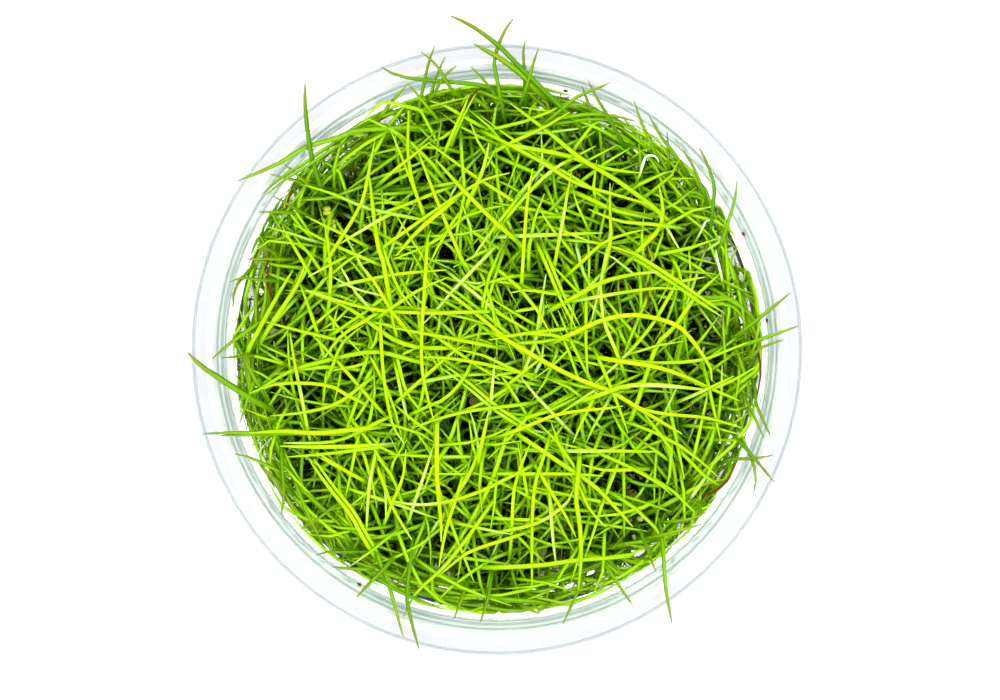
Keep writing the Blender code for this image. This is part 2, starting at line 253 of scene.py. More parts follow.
# The shoulder, the step and the flange are hazier than the wall, the step tinted teal and the flange grey:
# painted light and painted shade in place of the light and dark lines that refraction draws in the
# clear plastic there. Places on both ramps are shares of the cup's height.
clearness = ramp(tree, height, (
    (0.610, 1.0), (0.622, 0.74), (0.650, 0.74), (0.662, 1.0), (0.924, 1.0),
    (0.930, 0.50), (0.955, 0.50), (0.960, 0.34), (0.972, 0.34), (0.982, 0.80)))
painted_refraction_tint = ramp(tree, height, (
    (0.924, (0.98, 0.995, 1.0)), (0.930, (0.80, 0.91, 0.86)), (0.955, (0.80, 0.91, 0.86)),
    (0.960, (0.97, 0.99, 1.0)), (0.968, (0.97, 0.99, 1.0)), (0.982, (0.81, 0.82, 0.845))))

# Over the step the flange is painted lighter and its turned-down lip darker, as painted light and painted
# shade.
at_top = rescaled(tree, z, (RIM_HEIGHT - 0.6) * MM, (RIM_HEIGHT - 0.2) * MM)
inner_edge = rescaled(tree, reach, (FLANGE_INNER_RADIUS + 1.3) * MM, (FLANGE_INNER_RADIUS + 0.9) * MM)
over_step = calculated(tree, "MULTIPLY", at_top, inner_edge)
see_through = calculated(tree, "MULTIPLY", clearness, rescaled(tree, over_step, 0.0, 1.0, 1.0, 0.7))
tree.links.new(see_through, shader.inputs["Transmission Weight"])
painted_light_over_step = blended(tree, "MIX", over_step, painted_refraction_tint, (0.96, 0.99, 0.98, 1.0))
lip = rescaled(tree, reach, (RIM_RADIUS - 0.9) * MM, (RIM_RADIUS - 0.6) * MM)
painted_shade_on_lip = blended(tree, "MULTIPLY", lip, painted_light_over_step, (0.88, 0.90, 0.90, 1.0))
tree.links.new(painted_shade_on_lip, shader.inputs["Base Color"])

cup = turned("clear_cup", rounded(CUP_OUTLINE), CUP_STEPS)
cup.data.shade_smooth()
cup.data.materials.append(clear_plastic)
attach(cup, "root")
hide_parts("cup")

# The jelly is a cast disc of half-clear cream agar that the plants are rooted in. It fills the cup's
# bottom, creeps a little up the wall, and its top is slightly lumpy where the plantlets were set.
gel_low, gel_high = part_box("gel")
JELLY_RADIUS = 41.5
JELLY_BOTTOM = gel_low.z / MM
JELLY_TOP = 9.5
JELLY_CREEP = 0.75
JELLY_LUMPS = 0.35
JELLY_RINGS = 60
JELLY_STEPS = 192
JELLY_SIDE = ((41.42, 8.0), (41.3, 4.0), (41.0, 2.3), (40.4, 1.5), (39.6, JELLY_BOTTOM), (20.0, JELLY_BOTTOM))


def jelly_top(x, y):
    """Height of the jelly's lumpy top, in millimetres."""
    r = math.hypot(x, y)
    creep = JELLY_CREEP * max(0.0, (r - 39.6) / 1.9) ** 2
    lumps = math.sin(x * 0.41 + 1.3) * math.sin(y * 0.37 + 0.4) + 0.6 * math.sin(x * 0.93 - y * 0.71)
    return JELLY_TOP - JELLY_LUMPS * (0.5 + 0.3 * lumps) * max(0.0, 1.0 - (r / 41.0) ** 6) + creep


rows = [(JELLY_RADIUS * (k / JELLY_RINGS) ** 0.8, None) for k in range(1, JELLY_RINGS + 1)]
rows += JELLY_SIDE
vertices = [(0.0, 0.0, jelly_top(0.0, 0.0))]
for r, z in rows:
    for k in range(JELLY_STEPS):
        angle = 2.0 * math.pi * k / JELLY_STEPS
        x, y = r * math.cos(angle), r * math.sin(angle)
        vertices.append((x, y, jelly_top(x, y) if z is None else z))
vertices.append((0.0, 0.0, JELLY_BOTTOM))
last_ring = 1 + (len(rows) - 1) * JELLY_STEPS
around = [(k, (k + 1) % JELLY_STEPS) for k in range(JELLY_STEPS)]
faces = [(0, 1 + k, 1 + n) for k, n in around]
for a in range(1, last_ring, JELLY_STEPS):
    faces += [(a + k, a + JELLY_STEPS + k, a + JELLY_STEPS + n, a + n) for k, n in around]
faces += [(len(vertices) - 1, last_ring + n, last_ring + k) for k, n in around]
jelly_mesh = bpy.data.meshes.new("jelly_disc")
jelly_mesh.from_pydata([tuple(c * MM for c in v) for v in vertices], [], faces)

jelly, tree, shader = new_material("agar_jelly", {"Transmission Weight": 0.6, "IOR": 1.34, "Roughness": 0.22})
# Under the grass the jelly is painted dark olive as painted shade of the leaves over it; towards the wall it
# keeps its own cream.
tint = ramp(tree, noise(tree, 140.0, 4.0), (
    (0.30, (0.26, 0.28, 0.06)), (0.52, (0.40, 0.42, 0.11)), (0.75, (0.55, 0.56, 0.20))))
clear_of_painted_shade = rescaled(tree, length(tree, in_object(tree)), 37.0 * MM, 42.5 * MM)
lighter = blended(tree, "MIX", clear_of_painted_shade, tint, (0.88, 0.87, 0.70, 1.0))
tree.links.new(lighter, shader.inputs["Base Color"])
bump(tree, shader, noise(tree, 420.0, 3.0), 0.35, 0.0005)

jelly_disc = new_object("jelly_disc", jelly_mesh)
jelly_disc.data.shade_smooth()
jelly_disc.data.materials.append(jelly)
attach(jelly_disc, "root")
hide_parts("gel")

# The grass is 42 plantlets, each a crown with 100 to 150 needle leaves, grown as one piece. The leaves
# stand up from the jelly, bend over level with the rim and lie criss-cross there. The ones that
# show on top are set by their places in the photograph, and the rest grow at random below them.
TUFTS = sorted(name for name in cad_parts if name.startswith("tuft_"))
GRASS_SEED = 12

# The photograph looks straight down along the cup's axis from this many millimetres above the table,
# and has this many pixels to a millimetre at the height of the rim.
EYE_HEIGHT = 668.0
PX_PER_MM = 6.15
VIEW_CENTRE_PX = (497.0, 349.5)

# Each leaf below is its width in pixels, then the points of the photograph that it runs through.
# Those over the rim start at their tip.
BRIGHT_LEAVES_PX = (
    (4.5, (298, 183), (333, 194), (369, 209), (418, 219)),
    (4.5, (293, 224), (336, 246), (366, 259)),
    (4.5, (282, 226), (301, 259)),
    (4.5, (336, 246), (373, 224)),
    (4.5, (366, 218), (400, 207), (432, 194)),
    (4.5, (375, 140), (369, 170), (363, 199), (350, 224), (336, 246)),
    (6, (369, 174), (373, 209), (378, 246), (383, 261), (391, 308)),
    (4.5, (409, 110), (408, 155), (414, 188), (418, 199)),
    (4.5, (391, 131), (403, 160), (418, 199)),
    (4.5, (418, 151), (432, 188), (446, 223), (456, 246)),
    (4.5, (401, 165), (429, 143)),
    (4.5, (429, 143), (470, 173), (510, 199)),
    (7, (436, 160), (466, 193), (494, 221), (502, 228)),
    (4.5, (452, 135), (464, 108), (469, 95)),
    (8, (489, 143), (482, 173), (472, 194)),
    (4.5, (462, 160), (464, 196), (457, 229), (456, 261)),
    (4.5, (457, 223), (432, 243), (394, 259)),
    (6, (441, 211), (416, 233), (396, 256)),
    (4.5, (510, 173), (482, 181), (442, 206), (396, 238)),
    (4.5, (510, 208), (490, 233), (472, 259)),
    (4.5, (364, 120), (383, 102), (399, 105)),
    (4.5, (305, 216), (340, 233)),
    (3, (394, 211), (409, 236), (426, 261)),
    (7, (510, 103), (552, 135), (580, 158), (616, 180), (648, 203), (654, 208)),
    (6, (527, 148), (568, 156), (603, 168), (639, 173)),
    (4.5, (510, 145), (543, 163), (576, 183), (613, 194), (654, 206)),
    (7, (659, 186), (663, 209), (659, 229), (643, 246)),
    (6, (590, 199), (616, 211), (653, 219)),
    (4.5, (588, 209), (619, 221), (649, 224)),
    (4.5, (583, 261), (603, 243), (626, 234), (648, 229)),
    (4.5, (570, 112), (543, 128), (517, 140)),
    (4.5, (596, 146), (573, 158), (552, 170), (532, 189), (510, 214)),
    (4.5, (533, 168), (528, 196), (525, 229), (523, 261)),
    (4.5, (572, 170), (567, 196), (561, 229), (558, 246)),
    (4.5, (610, 183), (610, 213), (611, 238), (606, 261)),
    (4.5, (540, 209), (550, 226), (560, 238)),
    (4.5, (568, 233), (591, 242)),
    (4.5, (306, 290), (336, 300), (366, 308), (399, 312), (436, 313), (470, 312)),
    (7, (306, 291), (343, 305), (366, 320), (391, 338), (416, 347), (446, 348)),
    (7, (250, 395), (291, 371), (325, 361), (350, 355), (379, 352), (411, 360)),
    (4.5, (250, 393), (272, 385), (300, 383), (330, 386), (343, 393)),
    (4.5, (270, 416), (300, 413), (325, 408), (343, 400), (356, 390)),
    (6, (250, 433), (283, 431), (316, 433), (350, 430)),
    (4.5, (290, 333), (295, 365), (301, 395), (307, 426)),
    (4.5, (306, 328), (336, 360), (371, 400)),
    (4.5, (381, 337), (383, 370), (388, 405), (394, 428), (404, 443)),
    (4.5, (393, 403), (414, 421), (424, 428)),
    (4.5, (335, 360), (343, 342), (364, 325)),
    (4.5, (325, 358), (340, 337), (363, 322)),
    (7, (272, 323), (296, 287), (306, 262)),
    (7, (255, 337), (275, 300), (293, 270)),
    (5, (431, 282), (449, 293), (475, 313), (510, 342)),
    (5, (434, 278), (452, 289), (478, 309), (513, 338)),
    (4.5, (389, 327), (416, 332), (449, 338), (474, 343)),
    (4.5, (412, 388), (446, 358), (464, 345)),
    (4.5, (426, 262), (424, 297), (422, 328), (422, 368), (429, 403), (434, 421)),
    (4.5, (439, 366), (466, 386), (492, 408), (510, 420)),
    (4.5, (442, 363), (469, 383), (495, 405), (513, 417)),
    (4.5, (412, 428), (441, 418), (470, 411), (510, 406)),
    (6, (489, 410), (482, 443)),
    (4.5, (356, 282), (399, 274), (446, 270)),
    (4.5, (396, 305), (419, 290), (449, 277)),
    (4.5, (358, 262), (373, 280), (391, 310), (399, 320)),
    (4.5, (388, 262), (399, 290), (416, 312)),
    (4.5, (308, 277), (326, 267)),
    (4.5, (480, 325), (474, 355), (464, 378), (446, 398), (431, 405)),
    (4.5, (459, 350), (482, 355), (510, 368)),
    (4.5, (510, 370), (479, 363), (446, 358), (416, 357)),
    (4.5, (283, 443), (336, 441), (376, 423)),
    (4.5, (399, 365), (407, 393), (426, 416)),
    (4.5, (398, 378), (404, 405), (409, 421)),
    (4.5, (444, 342), (470, 361), (500, 380)),
    (5, (648, 262), (676, 280), (697, 295), (724, 313)),
    (5, (646, 266), (674, 284), (695, 299), (722, 317)),
    (6, (576, 332), (603, 320), (634, 315), (669, 322), (686, 333), (709, 365), (712, 381)),
    (6, (719, 275), (697, 295), (676, 325), (659, 342), (651, 361), (638, 400)),
    (4.5, (671, 293), (654, 322), (633, 348), (613, 368), (593, 385)),
    (4.5, (548, 269), (561, 300), (576, 328)),
    (4.5, (552, 267), (565, 298), (580, 326)),
    (4.5, (551, 264), (573, 287), (593, 307), (603, 318)),
    (6, (573, 298), (603, 282), (636, 274), (659, 272)),
    (4.5, (590, 298), (626, 292), (659, 288), (682, 290)),
    (8, (619, 361), (651, 366), (676, 373), (707, 386)),
    (4.5, (623, 360), (659, 363), (701, 360), (726, 351), (754, 340)),
    (6, (600, 395), (626, 386), (659, 385), (707, 390)),
    (4.5, (614, 393), (639, 408), (666, 414), (707, 418), (742, 428)),
    (7, (510, 342), (543, 361), (576, 378), (613, 393), (643, 411), (682, 434)),
    (4.5, (606, 376), (616, 400), (628, 433)),
    (4.5, (586, 310), (586, 345), (588, 378)),
    (4.5, (510, 320), (532, 333)),
    (4.5, (558, 310), (573, 345), (591, 381)),
    (4.5, (525, 371), (545, 355)),
    (4.5, (553, 418), (573, 405), (596, 390)),
    (4.5, (523, 428), (560, 414), (610, 408), (623, 406)),
    (4.5, (610, 398), (593, 428), (586, 443)),
    (4.5, (593, 400), (581, 424), (573, 443)),
    (4.5, (638, 406), (654, 426), (663, 438)),
    (4.5, (709, 388), (697, 443)),
    (4.5, (709, 388), (721, 443)),
    (4.5, (709, 388), (734, 376)),
    (4.5, (709, 388), (740, 401)),
    (4.5, (601, 279), (603, 318), (616, 351)),
    (4.5, (694, 279), (705, 277)),
    (4.5, (510, 293), (527, 290), (548, 293)),
    (5, (310, 461), (330, 489), (350, 514), (361, 534)),
    (5, (314, 459), (334, 487), (354, 512), (365, 532)),
    (4.5, (373, 454), (391, 474), (401, 500)),
    (4.5, (384, 485), (394, 510), (412, 540)),
    (4.5, (364, 494), (399, 505), (432, 517), (439, 519)),
    (4.5, (389, 500), (416, 505), (446, 502), (479, 492), (510, 477)),
    (4.5, (406, 449), (403, 477), (394, 499)),
    (6, (437, 444), (437, 477), (441, 524), (441, 542)),
    (4.5, (444, 504), (456, 537), (474, 582)),
    (4.5, (456, 499), (446, 530), (439, 567)),
    (6, (480, 444), (472, 469), (454, 499)),
    (6, (504, 444), (492, 480), (477, 510), (459, 540), (441, 563)),
    (4.5, (480, 520), (462, 545), (441, 570), (416, 593), (403, 618)),
    (3, (441, 474), (487, 474)),
    (4.5, (374, 461), (369, 490), (366, 537)),
    (4.5, (356, 447), (350, 477), (345, 499)),
    (4.5, (316, 452), (343, 469)),
    (7, (280, 446), (320, 447), (366, 446)),
    (4.5, (286, 457), (325, 454), (366, 449)),
    (4.5, (474, 527), (510, 534)),
    (4.5, (510, 538), (482, 547), (464, 555), (437, 577)),
    (6, (532, 444), (565, 466), (593, 485), (613, 505), (633, 527)),
    (4.5, (580, 451), (619, 451), (659, 452)),
    (4.5, (601, 454), (633, 469), (659, 484), (672, 495)),
    (4.5, (543, 459), (535, 485), (532, 527), (532, 590)),
    (6, (578, 477), (576, 499), (580, 527), (581, 560), (578, 590)),
    (4.5, (616, 469), (603, 502), (593, 534), (585, 557)),
    (6, (510, 567), (543, 565), (580, 560), (631, 557)),
    (4.5, (510, 530), (535, 524), (556, 512), (571, 497), (576, 477)),
    (4.5, (580, 489), (590, 510), (606, 527)),
    (4.5, (548, 487), (565, 515), (576, 537)),
    (4.5, (550, 500), (553, 537), (556, 565)),
    (4.5, (618, 470), (603, 470), (580, 464)),
    (4.5, (510, 474), (565, 474), (603, 476)),
    (4.5, (518, 444), (525, 482)),
    (4.5, (530, 444), (515, 485), (512, 527)),
)
PALE_AND_SHEEN_LEAVES_PX = (
    (3, (351, 246), (359, 261)),
    (4, (666, 226), (682, 254)),
    (5, (479, 264), (452, 292), (437, 310), (422, 325)),
    (4.5, (467, 287), (487, 303), (510, 320)),
    (4.5, (470, 411), (475, 428), (477, 443)),
    (3, (328, 274), (353, 288), (371, 293)),
    (4.5, (338, 262), (356, 293), (376, 315)),
    (4.5, (495, 357), (492, 388)),
    (5, (546, 274), (540, 310), (535, 342), (525, 368)),
    (4.5, (520, 376), (535, 395), (553, 414)),
    (4.5, (605, 262), (600, 287), (591, 323)),
    (4.5, (434, 444), (426, 469), (417, 495)),
)
MID_LEAVES_PX = (
    (4.5, (346, 191), (376, 170), (403, 151)),
    (4.5, (442, 118), (437, 150), (436, 180)),
    (4.5, (386, 133), (409, 128), (437, 122), (461, 115)),
    (6, (340, 130), (366, 125), (399, 128), (429, 131)),
    (8, (414, 80), (449, 82), (472, 97)),
    (2.5, (383, 221), (399, 246)),
    (4.5, (571, 128), (583, 150)),
    (7, (522, 80), (543, 105), (555, 122)),
    (7, (548, 88), (573, 120)),
    (4.5, (721, 229), (724, 261)),
    (4.5, (669, 208), (707, 218)),
    (4.5, (250, 345), (278, 333), (300, 317), (321, 300)),
    (6, (709, 298), (731, 299), (747, 313), (763, 340)),
    (6, (709, 304), (731, 305), (745, 320), (760, 348)),
    (4.5, (303, 449), (301, 486), (308, 520), (321, 542)),
    (4.5, (363, 537), (388, 550), (411, 558)),
    (4.5, (424, 524), (411, 560), (408, 593), (414, 625)),
    (6, (406, 590), (449, 598), (489, 597), (510, 603)),
    (6, (666, 444), (674, 469), (677, 497)),
    (4.5, (618, 470), (629, 480), (651, 486), (676, 482), (691, 469), (694, 459)),
    (4.5, (608, 492), (636, 500), (672, 512)),
    (7, (634, 543), (667, 537), (702, 525)),
    (7, (676, 499), (701, 485), (726, 479)),
    (4.5, (623, 444), (624, 494), (624, 537)),
    (6, (510, 600), (543, 603), (568, 605), (590, 600)),
)
WALL_LEAVES_PX = (
    (5, (279, 232), (272, 255), (270, 285), (268, 310)),
    (5, (284, 236), (279, 262), (277, 292)),
    (4.5, (262, 262), (266, 290), (262, 320)),
    (4.5, (254, 286), (256, 310), (257, 335), (253, 352)),
    (4.5, (262, 206), (270, 214), (280, 222)),
    (4, (260, 222), (259, 234), (263, 243), (270, 250)),
    (4, (281, 195), (273, 205), (268, 218), (272, 232)),
    (4, (288, 190), (292, 205), (300, 218)),
    (4.5, (300, 200), (330, 198), (352, 190)),
    (4.5, (318, 160), (338, 170), (345, 190)),
    (5, (262, 388), (272, 408), (278, 432), (283, 460)),
    (5, (265, 445), (275, 470), (290, 492), (308, 512)),
    (5, (308, 498), (325, 512), (340, 525), (350, 540)),
    (4.5, (288, 470), (300, 488), (318, 504)),
    (5, (344, 522), (350, 540), (360, 552)),
    (5, (352, 530), (375, 545), (400, 553)),
    (4.5, (300, 492), (330, 490), (362, 492)),
    (4.5, (338, 540), (346, 552), (341, 562)),
    (4.5, (350, 560), (372, 568), (388, 574)),
    (4.5, (405, 575), (440, 590), (480, 597), (520, 600)),
    (4.5, (445, 603), (480, 606), (515, 611), (540, 606), (560, 598)),
    (5, (500, 598), (530, 601), (565, 606), (590, 600)),
    (5, (420, 566), (450, 578), (485, 584)),
    (4.5, (440, 584), (470, 590), (505, 588)),
    (4, (560, 598), (580, 590), (600, 586), (615, 585)),
    (4.5, (525, 600), (550, 590), (560, 575), (570, 560)),
    (4.5, (615, 575), (635, 570), (655, 562), (664, 545)),
    (5, (590, 590), (618, 578), (642, 562), (658, 545)),
    (6, (730, 300), (748, 312), (760, 330), (766, 348)),
    (6, (736, 305), (752, 325), (760, 345), (764, 358)),
    (5, (745, 315), (757, 335), (764, 352), (758, 368), (746, 378)),
    (5, (766, 354), (760, 370), (750, 380), (738, 392)),
    (5, (740, 360), (748, 385), (757, 410)),
    (5, (735, 400), (742, 425), (750, 450)),
    (5, (690, 502), (715, 490), (735, 475), (748, 462)),
    (5, (722, 225), (726, 250), (728, 275)),
    (4.5, (680, 208), (700, 210), (715, 214), (723, 228)),
    (5, (705, 190), (712, 210), (722, 232), (727, 262)),
    (4.5, (715, 284), (738, 281), (752, 287)),
    (4.5, (730, 284), (742, 290), (753, 294)),
    (4.5, (721, 232), (728, 240), (735, 248)),
    (4.5, (640, 150), (655, 165), (664, 190)),
    (5, (645, 130), (656, 150), (668, 172), (678, 195)),
    (4.5, (600, 118), (622, 128), (640, 142)),
    (4.5, (484, 84), (497, 77), (512, 75), (528, 78), (545, 86)),
    (5, (528, 86), (545, 100), (552, 120)),
    (5, (533, 86), (556, 105), (575, 120)),
    (5, (530, 90), (538, 110), (545, 122)),
    (5, (445, 88), (475, 90), (495, 97)),
    (4.5, (330, 134), (352, 128), (384, 116)),
    (4.5, (352, 126), (372, 112), (392, 100)),
    (4.5, (380, 112), (402, 102), (430, 96)),
)
RIM_LEAVES_PX = (
    (6, (451, 16), (472, 26), (498, 45), (518, 65), (567, 113)),
    (8, (474, 44), (500, 58), (524, 76)),
    (5, (513, 19), (505, 30), (500, 41), (496, 52), (494, 65), (498, 85)),
    (5, (525, 41), (523, 54), (524, 67)),
    (5, (538, 49), (532, 67)),
    (4.5, (435, 46), (429, 61), (422, 92)),
    (4.5, (421, 52), (437, 66)),
    (5, (381, 67), (394, 74), (410, 78), (427, 80), (473, 84)),
    (4.5, (445, 57), (436, 77)),
    (4.5, (457, 65), (444, 77)),
    (4.5, (471, 67), (478, 74)),
    (4.5, (408, 84), (393, 100)),
    (4.5, (408, 84), (420, 98)),
    (4.5, (588, 81), (596, 97), (607, 115)),
    (4.5, (582, 86), (588, 103)),
    (4.5, (611, 82), (596, 89), (578, 96), (557, 113)),
    (5, (635, 121), (615, 116), (591, 114), (567, 117)),
    (5, (634, 126), (615, 121), (591, 119), (567, 122)),
    (4.5, (634, 101), (641, 122), (648, 137)),
    (4.5, (649, 116), (661, 137), (671, 150)),
    (4.5, (667, 131), (668, 147)),
    (4.5, (683, 150), (692, 164), (700, 183)),
    (4.5, (699, 147), (707, 164), (714, 185), (713, 204)),
    (4.5, (737, 181), (735, 199), (728, 223)),
    (5, (790, 293), (758, 319)),
    (5, (798, 326), (767, 337)),
    (4.5, (785, 339), (769, 347)),
    (4.5, (771, 437), (761, 405)),
    (4.5, (764, 438), (757, 422)),
    (4.5, (773, 455), (757, 458)),
    (4.5, (774, 482), (754, 458)),
    (4.5, (754, 492), (756, 474), (751, 457)),
    (4.5, (710, 516), (691, 519)),
    (4.5, (702, 524), (674, 532)),
    (5, (672, 623), (666, 588), (664, 559)),
    (4.5, (656, 572), (650, 556)),
    (4.5, (634, 607), (619, 585)),
    (4.5, (563, 624), (571, 607)),
    (4.5, (532, 603), (540, 613)),
    (4.5, (545, 605), (540, 613)),
    (4.5, (480, 623), (487, 603), (489, 592)),
    (4.5, (454, 619), (457, 611)),
    (5, (419, 649), (410, 615), (407, 596), (410, 565)),
    (4.5, (442, 609), (400, 592), (379, 579)),
    (5, (403, 636), (390, 588), (383, 570)),
    (6, (357, 597), (378, 575)),
    (5, (332, 567), (356, 569)),
    (4.5, (316, 555), (327, 552), (346, 552)),
    (4.5, (322, 542), (312, 523), (302, 500)),
    (4.5, (301, 529), (312, 523), (336, 505)),
    (4.5, (299, 520), (288, 500)),
    (5, (281, 515), (284, 495), (282, 464)),
    (4.5, (235, 454), (251, 458), (272, 468)),
    (4.5, (259, 464), (276, 480)),
    (4.5, (240, 423), (247, 401)),
    (5, (202, 434), (228, 433), (266, 433), (333, 434)),
    (4.5, (220, 435.5), (257, 435)),
    (8, (188, 353), (201, 366), (223, 381), (245, 395)),
    (5, (212, 359), (232, 342), (253, 327)),
    (4.5, (222, 358), (237, 357)),
    (5, (231, 334), (241, 353), (256, 381)),
    (4.5, (230, 282), (239, 278), (251, 279)),
    (4.5, (233, 307), (235, 288)),
    (4.5, (256, 288), (256, 325)),
    (6, (305, 84), (305, 107), (308, 136), (311, 155), (315, 169)),
    (6, (238, 181), (276, 165), (307, 147), (336, 136), (354, 131), (400, 128)),
    (4.5, (262, 194), (283, 176), (305, 163), (321, 151)),
    (4, (266, 195), (287, 178), (309, 165), (325, 154)),
    (4.5, (284, 164), (291, 170)),
    (4.5, (269, 174), (281, 177)),
    (4.5, (273, 196), (282, 201)),
    (4.5, (259, 212), (265, 212)),
    (4.5, (244, 239), (253, 243)),
    (4.5, (247, 259), (262, 259)),
)
DEAD_LEAVES_PX = (
    (3, (764, 370), (768, 385), (765, 402)),
    (3, (273, 240), (267, 262), (268, 280), (271, 298)),
    (2.5, (297, 171), (293, 185), (289, 198)),
    (4, (472, 96), (480, 87), (487, 80)),
    (2.5, (648, 262), (649, 307), (658, 325)),
    (4, (729, 484), (742, 477), (752, 464)),
)
DYING_LEAVES_PX = (
    (4, (596, 238), (620, 252), (648, 262)),
    (4, (648, 246), (652, 256), (650, 268)),
    (4, (440, 104), (456, 100), (470, 97)),
    (4, (690, 272), (706, 273), (720, 275)),
    (3.5, (293, 350), (304, 354), (317, 360)),
)
SPROUTS_PX = (
    (4, (250, 462), (256, 454), (264, 446)),
    (4, (589, 611), (593, 605), (597, 599)),
    (4, (616, 592), (621, 588), (626, 583)),
    (4, (640, 595), (646, 585), (650, 575)),
)
WHITE_SPROUTS_PX = (
    (4, (643, 164), (645, 158), (650, 155), (656, 157), (659, 162)),
    (3.5, (704, 225), (706, 221), (710, 220), (713, 224)),
    (4, (716, 250), (717, 258), (719, 266)),
)

# Where a star of young leaves stands up by the wall, and where a fleck of dead leaf lies.
SPRIGS_PX = (
    (295, 184), (270, 214), (351, 553), (752, 458), (442, 72), (478, 80), (408, 92), (660, 566),
    (724, 226), (246, 352), (247, 392), (262, 236), (690, 196), (740, 290), (312, 540), (700, 505))
FLECKS_PX = ((743.5, 234.5), (767, 321), (359, 584), (566, 91))

# A plantlet's leaves grow from its crown and from shoots round it. Beside the wall it has some more.
SHOOTS_EACH = 6
SHOOT_SPREAD = 6.2
SHOOT_LIMIT = 39.6
BESIDE_WALL = 27.0
WALL_SHOOTS_EACH = 5
WALL_SHOOTS_FROM = 34.5
AXIS = Vector((0.0, 0.0, 0.0))

# A leaf on top is made a little narrower than it looks, and is rooted in a plantlet about this far
# behind its end, rather in one that has few leaves yet.
LEAF_WIDTH_SHARE = 0.9
ROOT_BACK = 8.0
CROWDING = 0.3

# It dips out of sight behind that end: how far back, its limit from the axis and its share of the way up.
DIPS = ((6.0, 41.5, 0.80), (2.8, 42.6, 0.955))

# A leaf over the rim climbs as it goes out, and may pass the wall only this far above the rim.
RIM_CLIMB = 0.36
RIM_CLIMB_FROM = 38.0
HIGHEST_TIP = 54.0
OVER_RIM = 0.9

# A point of a leaf that is nearer than this to the one before it is left out.
LEAST_STEP = 0.6

rng = random.Random(GRASS_SEED)
leaves = {name: [] for name in TUFTS}
crowns = {}
shoots = {}
wall_shoots = {}


def any_way():
    """A level direction at random, as an angle."""
    return rng.uniform(0.0, 2.0 * math.pi)


def beside(p, angle, reach):
    """The x and y of the place that far from p in that direction."""
    return p.x + math.cos(angle) * reach, p.y + math.sin(angle) * reach


def pulled_in(x, y, limit):
    """The same x and y, or the nearest ones that are within the limit of the axis."""
    r = math.hypot(x, y)
    return (x, y) if r < limit else (x * limit / r, y * limit / r)


def on_jelly(x, y):
    """A place on the jelly, a little sunk in."""
    return Vector((x, y, jelly_top(x, y) - 0.3))


for name in TUFTS:
    places = np.array([v.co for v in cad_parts[name].data.vertices]) / MM
    foot = places[places[:, 2] < places[:, 2].min() + 0.2]
    low, high = foot.min(0), foot.max(0)
    crown = on_jelly((low[0] + high[0]) / 2.0, (low[1] + high[1]) / 2.0)
    crowns[name] = crown
    shoots[name] = [crown]
    for _ in range(SHOOTS_EACH - 1):
        turn, out = any_way(), SHOOT_SPREAD * math.sqrt(rng.random())
        shoots[name].append(on_jelly(*pulled_in(*beside(crown, turn, out), SHOOT_LIMIT)))
    wall_shoots[name] = []
    if crown.xy.length > BESIDE_WALL:
        for _ in range(WALL_SHOOTS_EACH):
            turn = math.atan2(crown.y, crown.x) + rng.uniform(-0.17, 0.17)
            out = rng.uniform(WALL_SHOOTS_FROM, SHOOT_LIMIT)
            wall_shoots[name].append(on_jelly(*beside(AXIS, turn, out)))


def under_photo_point(x_px, y_px, height):
    """The place in millimetres that shows at a point of the photograph when it is at a height."""
    scale = (EYE_HEIGHT - height) / (EYE_HEIGHT - RIM_HEIGHT) / PX_PER_MM
    return Vector(((x_px - VIEW_CENTRE_PX[0]) * scale, (VIEW_CENTRE_PX[1] - y_px) * scale, height))


def wall_limit(z, clearance):
    """How far from the axis a leaf may be at a height inside the cup."""
    if z < SHOULDER_HEIGHT + 1.0:
        return WALL_FOOT_RADIUS + (SHOULDER_INNER_RADIUS - WALL_FOOT_RADIUS) * z / SHOULDER_HEIGHT - clearance
    return UPPER_WALL_RADIUS - clearance


def kept_in(points, clearance=0.9, over_rim=False):
    """The same points, with those beyond the cup's wall brought back inside it."""
    kept = []
    for p in points:
        if not over_rim or p.z < RIM_HEIGHT + OVER_RIM:
            x, y = pulled_in(p.x, p.y, wall_limit(p.z, clearance))
            p = Vector((x, y, p.z))
        kept.append(p)
    return kept


def add_leaf(tuft, points, width, shade, pale=0.0, dead=0.0, gap=4.2, over_rim=False):
    """Notes down one leaf. pale and dead are one number, or one for each point. gap is how far apart the
    rings of its mesh are."""
    points = kept_in(points, over_rim=over_rim)
    pale = pale if isinstance(pale, list) else [pale] * len(points)
    dead = dead if isinstance(dead, list) else [dead] * len(points)
    apart = [k for k, p in enumerate(points) if k == 0 or (p - points[k - 1]).length > LEAST_STEP]
    count = len(apart)
    leaves[tuft].append({
        "points": [points[k] for k in apart], "width": [width] * count, "shade": [shade] * count,
        "gap": [gap] * count, "pale": [pale[k] for k in apart], "dead": [dead[k] for k in apart]})


